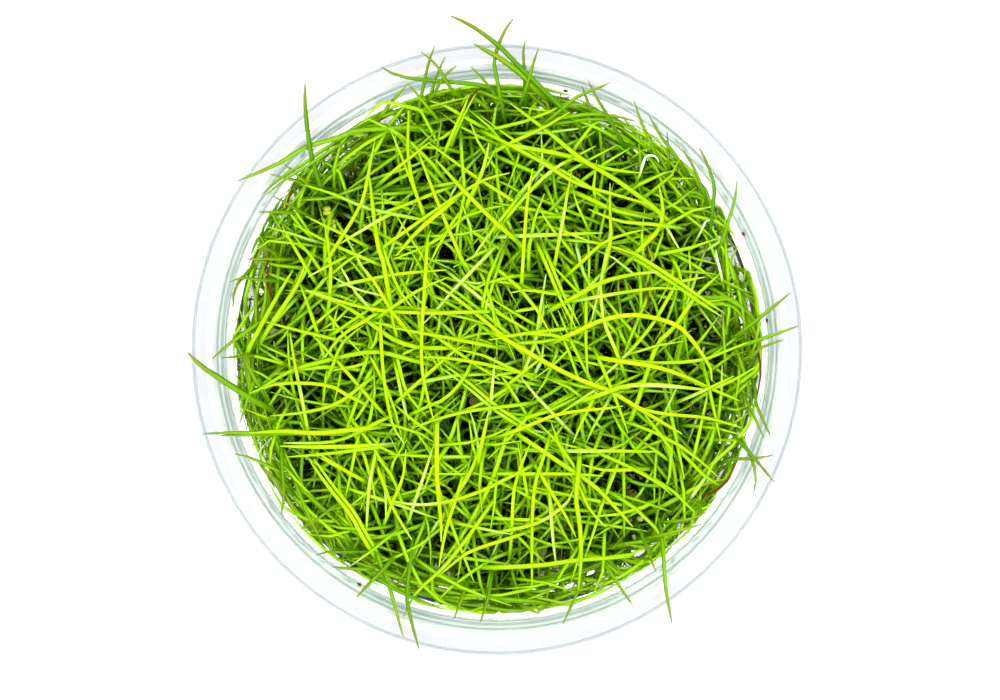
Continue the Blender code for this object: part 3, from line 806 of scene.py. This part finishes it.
def lying_leaf(width_px, points_px, height, shade, pale=0.0, dead=0.0, tip_first=False, gap=2.0):
    """A leaf that shows in the photograph. It dips behind one end and is rooted in a plantlet there."""
    orders = [list(points_px)[::-1]] if tip_first else [list(points_px), list(points_px)[::-1]]
    options = []
    for order in orders:
        a = under_photo_point(*order[0], height)
        b = under_photo_point(*order[1], height)
        back = Vector((a.x - b.x, a.y - b.y, 0.0)).normalized()
        wish = a + back * ROOT_BACK
        tuft = min(TUFTS, key=lambda n: (crowns[n].xy - wish.xy).length + CROWDING * len(leaves[n]))
        miss = (crowns[tuft].xy - wish.xy).length + CROWDING * len(leaves[tuft])
        options.append((miss, tuft, order, back))
    _, tuft, order, back = min(options, key=lambda o: o[0])
    lying = []
    for x, y in order:
        z = height + rng.uniform(-0.2, 0.2)
        p = under_photo_point(x, y, z)
        if tip_first:
            climb = RIM_CLIMB * max(0.0, p.xy.length - RIM_CLIMB_FROM)
            p = under_photo_point(x, y, min(z + climb, HIGHEST_TIP))
        lying.append(p)
    a = lying[0]
    crown = crowns[tuft]
    wish = a + back * ROOT_BACK - crown
    reach = min(1.0, SHOOT_SPREAD / max(wish.xy.length, 0.01))
    foot = on_jelly(*pulled_in(crown.x + wish.x * reach, crown.y + wish.y * reach, SHOOT_LIMIT))
    rise = a.z - foot.z
    dips = []
    for away, limit, share in DIPS:
        dips.append(Vector((*pulled_in(*(a + back * away).xy, limit), foot.z + rise * share)))
    middle = foot.lerp(dips[0], 0.35)
    middle.z = foot.z + rise * 0.42
    points = [foot, middle] + dips + lying
    add_leaf(tuft, points, width_px / PX_PER_MM * LEAF_WIDTH_SHARE, shade, pale, dead, gap, over_rim=True)


def painted_sheen_stretch(count, chance):
    """How much painted highlight a leaf has at each of its points, as its pale number: for most none, for a
    few one short stretch.
    """
    values = [0.0] * count
    if rng.random() < chance:
        values[rng.randrange(2, count)] = rng.uniform(0.5, 1.0)
    return values


# Each kind lies between its own two heights, and its shade is from 0 for the brightest to 1 for the
# darkest. Where pale is a list, its first number is for the foot.
# The short pale stretches that some leaves of these kinds get are painted highlight.
for width, *points in BRIGHT_LEAVES_PX:
    lying_leaf(min(width, 5.8), points, rng.uniform(47.0, 50.0), rng.uniform(0.0, 0.28),
               pale=painted_sheen_stretch(len(points) + 4, 0.3))
# These pale leaves have a light stripe that is partly their own paler green and partly painted highlight.
for width, *points in PALE_AND_SHEEN_LEAVES_PX:
    lying_leaf(min(width, 4.2), points, rng.uniform(46.5, 49.0), 0.0, pale=0.9)
for width, *points in WALL_LEAVES_PX:
    lying_leaf(width, points, rng.uniform(43.5, 46.5), rng.uniform(0.15, 0.7))
for width, *points in MID_LEAVES_PX:
    lying_leaf(min(width, 6.0), points, rng.uniform(44.0, 46.5), rng.uniform(0.35, 0.65))
for width, *points in RIM_LEAVES_PX:
    lying_leaf(width, points, rng.uniform(46.5, 48.0), rng.uniform(0.65, 1.0), tip_first=True)
for width, *points in DEAD_LEAVES_PX:
    lying_leaf(width, points, rng.uniform(46.0, 48.5), 0.0, dead=1.0)
for width, *points in DYING_LEAVES_PX:
    lying_leaf(width, points, rng.uniform(45.5, 48.0), 0.1, dead=0.4)
for width, *points in SPROUTS_PX:
    lying_leaf(width, points, rng.uniform(44.0, 46.0), 0.1, pale=[0.0] * 3 + [1.3] * (len(points) + 1))
for width, *points in WHITE_SPROUTS_PX:
    lying_leaf(width, points, rng.uniform(47.0, 48.0), 0.4, pale=[0.0] * 4 + [2.0] * len(points), gap=0.6)


def foot_by(shoot):
    """Where a leaf leaves its shoot, a little beside the middle."""
    turn = any_way()
    return shoot + Vector((math.cos(turn), math.sin(turn), 0.0)) * rng.uniform(0.0, 0.8)


def wild_leaf(tuft, height, reach, width, shade, droop):
    """A leaf that grows at random: it rises, bends over and runs on near one height."""
    shoot = rng.choice(shoots[tuft])
    angle = any_way()
    swerve = rng.uniform(-0.6, 0.6)
    foot = foot_by(shoot)
    points = [foot]
    for out, up in ((0.05, 0.40), (0.18, 0.78), (0.42, 0.96), (0.72, 1.0), (1.0, 1.0)):
        z = foot.z + (height - foot.z) * up - droop * max(0.0, out - 0.5) * 2.0
        points.append(Vector((*beside(foot, angle + swerve * out, reach * out), z)))
    tip = [0.0] * 5 + [rng.uniform(0.4, 0.9) if rng.random() < 0.05 else 0.0]
    add_leaf(tuft, points, width, shade, pale=painted_sheen_stretch(len(points), 0.1), dead=tip)


def upright_leaf(tuft, height, lean, width, shade):
    """A leaf that stands nearly straight, as the young ones and those by the wall do."""
    shoot = rng.choice(shoots[tuft])
    angle = any_way()
    if shoot.xy.length > 26.0 and rng.random() < 0.6:
        angle = math.atan2(shoot.y, shoot.x) + rng.uniform(-0.7, 0.7)
    foot = foot_by(shoot)
    points = [foot]
    bow = rng.uniform(-0.8, 0.8)
    for up in (0.3, 0.6, 0.82, 1.0):
        z = foot.z + (height - foot.z) * up
        points.append(Vector((*beside(foot, angle + bow * up, lean * up ** 1.6), z)))
    add_leaf(tuft, points, width, shade, pale=painted_sheen_stretch(len(points), 0.06))


def wall_leaf(tuft, height, sweep, width, shade):
    """A leaf that is pressed against the wall and runs along it."""
    shoot = rng.choice(wall_shoots[tuft])
    angle = math.atan2(shoot.y, shoot.x)
    inset = rng.uniform(0.6, 4.4)
    points = [shoot.copy()]
    for along, up, out in ((0.0, 0.35, 0.5), (0.08, 0.7, 0.85), (0.35, 0.95, 1.0), (0.7, 1.0, 1.0),
                           (1.0, 1.0, 1.0)):
        z = shoot.z + (height - shoot.z) * up
        r = shoot.xy.length + (wall_limit(z, 0.9) - inset - shoot.xy.length) * out
        points.append(Vector((*beside(AXIS, angle + sweep * along, r), z)))
    add_leaf(tuft, points, width, shade, pale=painted_sheen_stretch(len(points), 0.1))


def edge_leaf(tuft, height, run, width, shade):
    """A leaf that rises beside the wall and turns its short tip any way."""
    shoot = rng.choice(wall_shoots[tuft])
    outward = math.atan2(shoot.y, shoot.x)
    lean = rng.uniform(-4.0, 0.6)
    tip_way = outward + rng.gauss(0.0, 1.1)
    points = [shoot.copy()]
    for up, turned_out in ((0.35, 0.0), (0.7, 0.05), (0.92, 0.3), (0.99, 0.65), (1.0, 1.0)):
        x = shoot.x + math.cos(outward) * lean * up + math.cos(tip_way) * run * turned_out
        y = shoot.y + math.sin(outward) * lean * up + math.sin(tip_way) * run * turned_out
        points.append(Vector((x, y, shoot.z + (height - shoot.z) * up)))
    add_leaf(tuft, points, width, shade, pale=painted_sheen_stretch(len(points), 0.08), gap=5.0)


def nearest_tuft(spot):
    """The plantlet whose crown is nearest."""
    return min(TUFTS, key=lambda n: (crowns[n].xy - spot.xy).length)


def sprig(x_px, y_px):
    """A runner's end that stands up to the mouth, with a star of short young leaves."""
    heart = under_photo_point(x_px, y_px, rng.uniform(43.5, 45.5))
    heart = kept_in([heart], 1.2)[0]
    tuft = nearest_tuft(heart)
    foot = on_jelly(*pulled_in(heart.x, heart.y, SHOOT_LIMIT))
    stem = [foot, foot.lerp(heart, 0.5) + Vector((0.5, -0.4, 0.0)), heart]
    add_leaf(tuft, stem, 0.6, 0.8, dead=[0.0, 0.0, 0.6])
    count = rng.randrange(7, 11)
    first = any_way()
    for k in range(count):
        way = first + 2.0 * math.pi * (k + rng.uniform(-0.3, 0.3)) / count
        reach = rng.uniform(1.8, 3.9)
        rise = rng.uniform(0.2, 2.4)
        half_way = Vector((math.cos(way) * reach * 0.5, math.sin(way) * reach * 0.5, rise * 0.5 ** 0.6))
        end = Vector((math.cos(way) * reach, math.sin(way) * reach, rise))
        add_leaf(tuft, [heart, heart + half_way, heart + end], rng.uniform(0.42, 0.6), rng.uniform(0.7, 1.0),
                 gap=1.6)


def fleck(x_px, y_px):
    """A speck of dead leaf that lies on the step under the mouth."""
    spot = under_photo_point(x_px, y_px, STEP_HEIGHT + 0.35)
    way = Vector((spot.y, -spot.x, 0.0)).normalized() * 0.35
    points = [spot - way, spot + Vector((0.0, 0.0, 0.15)), spot + way]
    leaves[nearest_tuft(spot)].append({
        "points": points, "width": [0.5] * 3, "gap": [0.35] * 3, "shade": [0.5] * 3, "pale": [0.0] * 3,
        "dead": [1.0] * 3})


for place_px in FLECKS_PX:
    fleck(*place_px)
for place_px in SPRIGS_PX:
    sprig(*place_px)

ROOTS_EACH = 3
ROOT_LIMIT = 38.8


def add_runners_and_roots(tuft):
    """Thin runners over the jelly from the crown to its shoots, and pale roots down into the jelly."""
    for shoot in shoots[tuft][1:] + wall_shoots[tuft]:
        runner = []
        for share in (0.0, 0.33, 0.67, 1.0):
            p = crowns[tuft].lerp(shoot, share)
            side = math.sin(share * math.pi) * 0.9
            p = Vector((p.x + side, p.y - side, 0.0))
            runner.append(Vector((p.x, p.y, jelly_top(p.x, p.y) + 0.15)))
        add_leaf(tuft, runner, 0.55, 0.3, pale=0.5, gap=3.0)
    for shoot in shoots[tuft] + wall_shoots[tuft]:
        for _ in range(ROOTS_EACH):
            way, spread = any_way(), rng.uniform(0.8, 4.5)
            deep = rng.uniform(2.4, 7.0)
            points = [shoot.copy()]
            for out, down in ((0.3, 0.3), (0.65, 0.7), (1.0, 1.0)):
                limit = max(ROOT_LIMIT, shoot.xy.length - 1.6 * out)
                x, y = pulled_in(*beside(shoot, way, spread * out), limit)
                points.append(Vector((x, y, shoot.z + (deep - shoot.z) * down)))
            add_leaf(tuft, points, rng.uniform(0.22, 0.34), 0.0, gap=2.4)


# Each layer of wild leaves is how many a plantlet has, then their heights, reaches and shades. The
# further down a layer is, the shorter and darker its leaves are.
WILD_LAYERS = (
    (14, (44.5, 48.3), (10.0, 28.0), (0.0, 0.42)),
    (18, (38.0, 44.5), (8.0, 26.0), (0.12, 0.62)),
    (15, (28.0, 38.0), (6.0, 22.0), (0.3, 0.9)),
    (10, (18.0, 28.0), (5.0, 16.0), (0.5, 1.0)),
)
UPRIGHT_EACH = 16
WALL_LEAVES_EACH = 11
EDGE_LEAVES_EACH = 26
YOUNG_EACH = 26
for tuft in TUFTS:
    for count, heights, reaches, shades in WILD_LAYERS:
        for _ in range(count):
            wild_leaf(tuft, rng.uniform(*heights), rng.uniform(*reaches), rng.uniform(0.52, 0.76),
                      rng.uniform(*shades), rng.uniform(-1.0, 3.0))
    for _ in range(UPRIGHT_EACH):
        upright_leaf(tuft, rng.triangular(26.0, 49.5, 45.0), rng.uniform(1.0, 9.0), rng.uniform(0.52, 0.74),
                     rng.uniform(0.45, 1.0))
    if wall_shoots[tuft]:
        for _ in range(WALL_LEAVES_EACH):
            wall_leaf(tuft, rng.triangular(34.0, 47.3, 45.0),
                      rng.choice((-1.0, 1.0)) * rng.uniform(0.05, 0.6),
                      rng.uniform(0.52, 0.74), rng.uniform(0.0, 0.7))
        for _ in range(EDGE_LEAVES_EACH):
            edge_leaf(tuft, rng.triangular(26.0, 47.5, 44.0), rng.uniform(1.0, 8.0), rng.uniform(0.48, 0.7),
                      rng.uniform(0.2, 0.95))
    for _ in range(YOUNG_EACH):
        upright_leaf(tuft, rng.uniform(12.5, 22.0), rng.uniform(2.0, 8.0), rng.uniform(0.45, 0.7),
                     rng.uniform(0.6, 1.0))
    add_runners_and_roots(tuft)

# A leaf is a five-sided needle. The pairs are places along it and its share of the full width there.
LEAF_SIDES = 5
WIDTH_ALONG_LEAF = ((0.0, 0.75), (0.15, 0.95), (0.45, 1.0), (0.82, 0.97), (0.94, 0.72), (1.0, 0.24))


def leaf_tree():
    """Geometry Nodes: sweep each path into a needle leaf with its own width and a drawn-out tip."""
    tree = bpy.data.node_groups.new("needle_leaves", "GeometryNodeTree")
    face = tree.interface
    face.new_socket("Paths", in_out="INPUT", socket_type="NodeSocketGeometry")
    sides = face.new_socket("Sides", in_out="INPUT", socket_type="NodeSocketInt")
    finish = face.new_socket("Finish", in_out="INPUT", socket_type="NodeSocketMaterial")
    face.new_socket("Leaves", in_out="OUTPUT", socket_type="NodeSocketGeometry")

    def noted(name):
        """A number that was noted down for each point of a path."""
        number = new_node(tree, "GeometryNodeInputNamedAttribute", {"Name": name}, data_type="FLOAT")
        return number["Attribute"]

    def keep(geometry, name, value):
        """Keeps a number under that name on each point, for the material to read."""
        inputs = {"Geometry": geometry, "Name": name, "Value": value}
        kept = new_node(tree, "GeometryNodeStoreNamedAttribute", inputs, data_type="FLOAT", domain="POINT")
        return kept["Geometry"]

    given = new_node(tree, "NodeGroupInput", {})
    curve = new_node(tree, "GeometryNodeMeshToCurve", {"Mesh": given["Paths"]})["Curve"]
    smooth = new_node(tree, "GeometryNodeCurveSplineType", {"Curve": curve}, spline_type="CATMULL_ROM")
    rings = {"Curve": smooth["Curve"], "Length": noted("gap")}
    curve = new_node(tree, "GeometryNodeResampleCurve", rings, mode="LENGTH")["Curve"]
    tangent = new_node(tree, "GeometryNodeInputTangent", {})["Tangent"]
    upward = new_node(tree, "ShaderNodeSeparateXYZ", {"Vector": tangent})["Z"]
    curve = keep(curve, "steep", calculated(tree, "ABSOLUTE", upward))
    along = new_node(tree, "GeometryNodeSplineParameter", {})["Factor"]
    curve = keep(curve, "along", along)
    shape = tree.nodes.new("ShaderNodeFloatCurve")
    line = shape.mapping.curves[0].points
    line[0].location = WIDTH_ALONG_LEAF[0]
    line[1].location = WIDTH_ALONG_LEAF[-1]
    for place, share in WIDTH_ALONG_LEAF[1:-1]:
        line.new(place, share)
    shape.mapping.update()
    tree.links.new(along, shape.inputs["Value"])
    width = calculated(tree, "MULTIPLY", noted("width"), shape.outputs["Value"])
    half_width = calculated(tree, "MULTIPLY", width, 0.5)
    circle = {"Radius": 1.0, "Resolution": given["Sides"]}
    profile = new_node(tree, "GeometryNodeCurvePrimitiveCircle", circle)["Curve"]
    around = new_node(tree, "GeometryNodeSplineParameter", {})["Factor"]
    side = calculated(tree, "COSINE", calculated(tree, "MULTIPLY", around, 2.0 * math.pi))
    profile = keep(profile, "side", side)
    sweep = {"Curve": curve, "Profile Curve": profile, "Scale": half_width, "Fill Caps": True}
    grown = new_node(tree, "GeometryNodeCurveToMesh", sweep)["Mesh"]
    grown = new_node(tree, "GeometryNodeSetShadeSmooth", {"Geometry": grown})["Geometry"]
    grown = new_node(tree, "GeometryNodeRealizeInstances", {"Geometry": grown})["Geometry"]
    finished = {"Geometry": grown, "Material": given["Finish"]}
    grown = new_node(tree, "GeometryNodeSetMaterial", finished)["Geometry"]
    new_node(tree, "NodeGroupOutput", {"Leaves": grown})
    return tree, sides.identifier, finish.identifier


leaf_green, tree, shader = new_material("leaf_green", {"Roughness": 0.42, "Specular IOR Level": 0.09})


def leaf_number(name):
    """The number under that name on each point of a leaf."""
    return new_node(tree, "ShaderNodeAttribute", {}, attribute_name=name)["Fac"]


# In the middle the leaves are painted darker with depth as painted shade of the leaves above them, and by
# the clear wall, where light comes in through it, far less so.
z, reach = height_and_reach(tree)
height = rescaled(tree, z, 10.0 * MM, 49.0 * MM)
in_the_middle = ramp(tree, height, (
    (0.0, (0.012, 0.035, 0.001)), (0.35, (0.016, 0.055, 0.001)), (0.62, (0.045, 0.150, 0.001)),
    (0.80, (0.210, 0.500, 0.001)), (0.92, (0.430, 0.790, 0.001)), (1.0, (0.550, 0.880, 0.001))))
by_the_wall = ramp(tree, height, (
    (0.0, (0.450, 0.600, 0.100)), (0.30, (0.400, 0.700, 0.030)), (0.62, (0.360, 0.710, 0.004)),
    (0.82, (0.370, 0.730, 0.001)), (1.0, (0.460, 0.840, 0.001))))
outer = rescaled(tree, reach, 33.0 * MM, 41.0 * MM, kind="SMOOTHSTEP")
by_height = blended(tree, "MIX", outer, in_the_middle, by_the_wall)
# Each leaf's shade number darkens it further, partly its own darker green and partly painted shade, less so
# low down.
less_below = rescaled(tree, z, 12.0 * MM, 40.0 * MM, 0.3)
shading = calculated(tree, "MULTIPLY", less_below, leaf_number("shade"))
deep = blended(tree, "MULTIPLY", shading, by_height, (0.21, 0.32, 0.04, 1.0))
tip = rescaled(tree, leaf_number("along"), 0.84, 1.0, 0.0, 0.85)
tip_shade = calculated(tree, "MULTIPLY", tip, leaf_number("shade"))
tipped = blended(tree, "MIX", tip_shade, deep, (0.24, 0.27, 0.012, 1.0))

# The flanks of a lying leaf are painted darker than its back as painted shade of the light from above, and
# its green is slightly mottled.
normal = new_node(tree, "ShaderNodeNewGeometry", {})["Normal"]
facing = new_node(tree, "ShaderNodeSeparateXYZ", {"Vector": normal})["Z"]
painted_flank_shade = rescaled(tree, facing, 0.78, 0.30, 0.0, 0.8, "SMOOTHSTEP")
lying = rescaled(tree, leaf_number("steep"), 0.8, 0.4)
edge = calculated(tree, "MULTIPLY", painted_flank_shade, lying)
edged = blended(tree, "MULTIPLY", edge, tipped, (0.35, 0.58, 0.3, 1.0))
mottle = ramp(tree, noise(tree, 260.0), ((0.3, (0.80, 0.84, 0.7)), (0.7, 1.0)))
mottled = blended(tree, "MULTIPLY", 1.0, edged, mottle)

# A leaf's pale number gives it a light stripe along one side: on runners and sprouts that is their own
# paler colour, on the pale leaves it is partly their own paler green and partly painted highlight, and the
# short pale stretches of other leaves are painted highlight. A white sprout is bleached, a root is cream in
# the jelly, and a dead leaf is brown.
stripe = rescaled(tree, leaf_number("side"), -0.5, 0.6, kind="SMOOTHSTEP")
pale_and_sheen_stripe = calculated(tree, "MULTIPLY", leaf_number("pale"), stripe)
striped = blended(tree, "MIX", pale_and_sheen_stripe, mottled, (0.70, 0.93, 0.30, 1.0))
bleach = rescaled(tree, leaf_number("pale"), 1.0, 2.0)
bleached = blended(tree, "MIX", bleach, striped, (0.72, 0.90, 0.74, 1.0))
in_jelly = rescaled(tree, z, 9.4 * MM, 8.4 * MM)
rooted = blended(tree, "MIX", in_jelly, bleached, (0.78, 0.76, 0.55, 1.0))
withered = blended(tree, "MIX", leaf_number("dead"), rooted, (0.11, 0.045, 0.006, 1.0))
tree.links.new(withered, shader.inputs["Base Color"])

tree_group, sides_id, finish_id = leaf_tree()
for number, tuft in enumerate(TUFTS, start=1):
    vertices, edges = [], []
    numbers = {key: [] for key in ("width", "gap", "shade", "pale", "dead")}
    for leaf in leaves[tuft]:
        first = len(vertices)
        vertices += [tuple(p * MM) for p in leaf["points"]]
        edges += [(k, k + 1) for k in range(first, len(vertices) - 1)]
        for key in numbers:
            numbers[key] += [value * MM if key in ("width", "gap") else value for value in leaf[key]]
    mesh = bpy.data.meshes.new("leaf_paths")
    mesh.from_pydata(vertices, edges, [])
    for key, values in numbers.items():
        mesh.attributes.new(key, "FLOAT", "POINT").data.foreach_set("value", values)
    source = new_object("leaf_paths", mesh)
    modifier = source.modifiers.new("leaves", "NODES")
    modifier.node_group = tree_group
    modifier[sides_id] = LEAF_SIDES
    modifier[finish_id] = leaf_green
    piece = made_plain(f"plantlet_{number:02d}", source)
    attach(piece, "root")
    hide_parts(tuft)

# Crumbs of the jelly cling to the leaves here and there, from when the plantlets were set in it. They
# are small uneven lumps of the same jelly, each stuck to a leaf. Those that show are given by their
# radius and place in the photograph, in pixels.
CRUMBS_PX = (
    (3.2, 327, 209), (3.2, 328, 213), (3.0, 332, 222), (2.4, 334, 227), (2.6, 388, 222), (2.4, 366, 190),
    (2.2, 548, 199), (2.0, 556, 203), (2.2, 571, 186), (2.0, 628, 270), (2.2, 641, 276), (1.8, 640, 255),
    (1.8, 352, 245), (2.0, 402, 268), (2.2, 670, 402), (2.0, 673, 412), (2.4, 640, 519), (2.0, 634, 537),
    (1.8, 475, 534), (1.6, 362, 475), (2.0, 707, 222), (1.8, 696, 206))
CRUMB_SEED = 5
CRUMBS = 60
CRUMB_RADIUS = (0.14, 0.34)
CRUMB_SHARE = 1.35
CRUMB_HEIGHT = (20.0, 43.0)
CRUMB_LIMIT = 40.0
LARGE_CRUMB = 0.3
crumb_jelly, tree, shader = new_material("crumb_jelly", {
    "Transmission Weight": 0.2, "IOR": 1.34, "Roughness": 0.3})
crumb_tint = ramp(tree, noise(tree, 90.0), (
    (0.35, (0.46, 0.60, 0.01)), (0.55, (0.66, 0.76, 0.06)), (0.72, (0.88, 0.88, 0.40))))
tree.links.new(crumb_tint, shader.inputs["Base Color"])
bump(tree, shader, noise(tree, 1500.0), 0.3, 0.0002)
crumb_rng = random.Random(CRUMB_SEED)
spots = []
for radius_px, x_px, y_px in CRUMBS_PX:
    spot = under_photo_point(x_px, y_px, crumb_rng.uniform(41.0, 43.5))
    spots.append((spot, radius_px / PX_PER_MM * CRUMB_SHARE))
all_points = [p for tuft in TUFTS for leaf in leaves[tuft] for p in leaf["points"][1:]
              if CRUMB_HEIGHT[0] < p.z < CRUMB_HEIGHT[1] and p.xy.length < CRUMB_LIMIT]
# These random crumbs deep among the leaves also stand in for small glints there, as painted highlight.
for p in crumb_rng.sample(all_points, CRUMBS):
    radius = crumb_rng.uniform(*CRUMB_RADIUS)
    spots.append((p + Vector((0.0, 0.0, 0.3 + 0.4 * radius)), radius))
lump = bmesh.new()
for spot, radius in spots:
    fineness = 1 if radius < LARGE_CRUMB else 2
    made = bmesh.ops.create_icosphere(lump, subdivisions=fineness, radius=radius * MM)
    stretch = Vector((crumb_rng.uniform(0.7, 1.5), crumb_rng.uniform(0.6, 1.2), crumb_rng.uniform(0.5, 0.9)))
    for vertex in made["verts"]:
        vertex.co = vertex.co * stretch * crumb_rng.uniform(0.66, 1.2) + spot * MM
crumb_mesh = bpy.data.meshes.new("jelly_crumbs")
lump.to_mesh(crumb_mesh)
lump.free()
crumb_mesh.shade_smooth()
jelly_crumbs = new_object("jelly_crumbs", crumb_mesh)
jelly_crumbs.data.materials.append(crumb_jelly)
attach(jelly_crumbs, "root")
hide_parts("gel")

# The stand is a plain white table under soft studio light, seen from straight above. None of it is
# part of the object. The table glows evenly as a lit white ground does, and a brighter ring of painted
# light glows under the rim to light the clear wall and the jelly from below.
TABLE_SIZE = 6.0
TABLE_HEIGHT = -0.0002
TABLE_GLOW = 3.2
bpy.ops.mesh.primitive_plane_add(size=TABLE_SIZE, location=(0.0, 0.0, TABLE_HEIGHT))
table = bpy.context.object
table.name = "table"
white_card, tree, shader = new_material("white_card", {
    "Roughness": 0.8, "Specular IOR Level": 0.1, "Emission Color": (1.0, 1.0, 1.0, 1.0)})
paper = ramp(tree, noise(tree, 30.0), ((0.3, 0.30), (0.7, 0.33)))
tree.links.new(paper, shader.inputs["Base Color"])
reach = rescaled(tree, length(tree, in_object(tree)), 0.0, 100.0 * MM)
glow_and_painted_ring = ramp(tree, reach, ((0.425, 0.24), (0.440, 1.0), (0.484, 1.0), (0.492, 0.24)))
tree.links.new(calculated(tree, "MULTIPLY", glow_and_painted_ring, TABLE_GLOW), shader.inputs["Emission Strength"])
table.data.materials.append(white_card)

scene = bpy.context.scene
world = bpy.data.worlds.new("studio")
world.use_nodes = True
sky = world.node_tree
background = sky.nodes["Background"]
background.inputs["Color"].default_value = (1.0, 1.0, 1.0, 1.0)
direction = new_node(sky, "ShaderNodeTexCoord", {})["Generated"]
upward = new_node(sky, "ShaderNodeSeparateXYZ", {"Vector": direction})["Z"]
sky.links.new(rescaled(sky, upward, 0.90, 0.98, 0.95, 0.2), background.inputs["Strength"])
scene.world = world

LIGHT_RING = 0.66
LIGHT_HEIGHT = 0.95
LIGHT_SIZE = 0.45
LIGHT_POWER = 4.6
LIGHT_AIM = Vector((0.0, 0.0, 0.03))
for k in range(4):
    turn = math.pi / 4.0 + k * math.pi / 2.0
    place = Vector((LIGHT_RING * math.cos(turn), LIGHT_RING * math.sin(turn), LIGHT_HEIGHT))
    soft_box = bpy.data.lights.new(f"soft_light_{k + 1}", "AREA")
    soft_box.size = LIGHT_SIZE
    soft_box.energy = LIGHT_POWER
    light = new_object(soft_box.name, soft_box)
    light.location = place
    light.rotation_euler = (LIGHT_AIM - place).to_track_quat("-Z", "Y").to_euler()

PHOTO_SIZE_PX = (1000.0, 700.0)
SENSOR_WIDTH = 36.0
camera_data = bpy.data.cameras.new("camera")
camera_data.sensor_width = SENSOR_WIDTH
camera_data.lens = SENSOR_WIDTH * (EYE_HEIGHT - RIM_HEIGHT) / (PHOTO_SIZE_PX[0] / PX_PER_MM)
camera = new_object("camera", camera_data)
eye_x = (PHOTO_SIZE_PX[0] / 2.0 - VIEW_CENTRE_PX[0]) / PX_PER_MM
eye_y = (VIEW_CENTRE_PX[1] - PHOTO_SIZE_PX[1] / 2.0) / PX_PER_MM
camera.location = (eye_x * MM, eye_y * MM, EYE_HEIGHT * MM)
scene.camera = camera
scene.view_settings.view_transform = "Standard"
scene.view_settings.look = "None"

# Light runs down inside the clear wall as in a light guide, so its paths need many bounces.
scene.cycles.max_bounces = 32
scene.cycles.transmission_bounces = 32
scene.cycles.glossy_bounces = 16
scene.cycles.diffuse_bounces = 3
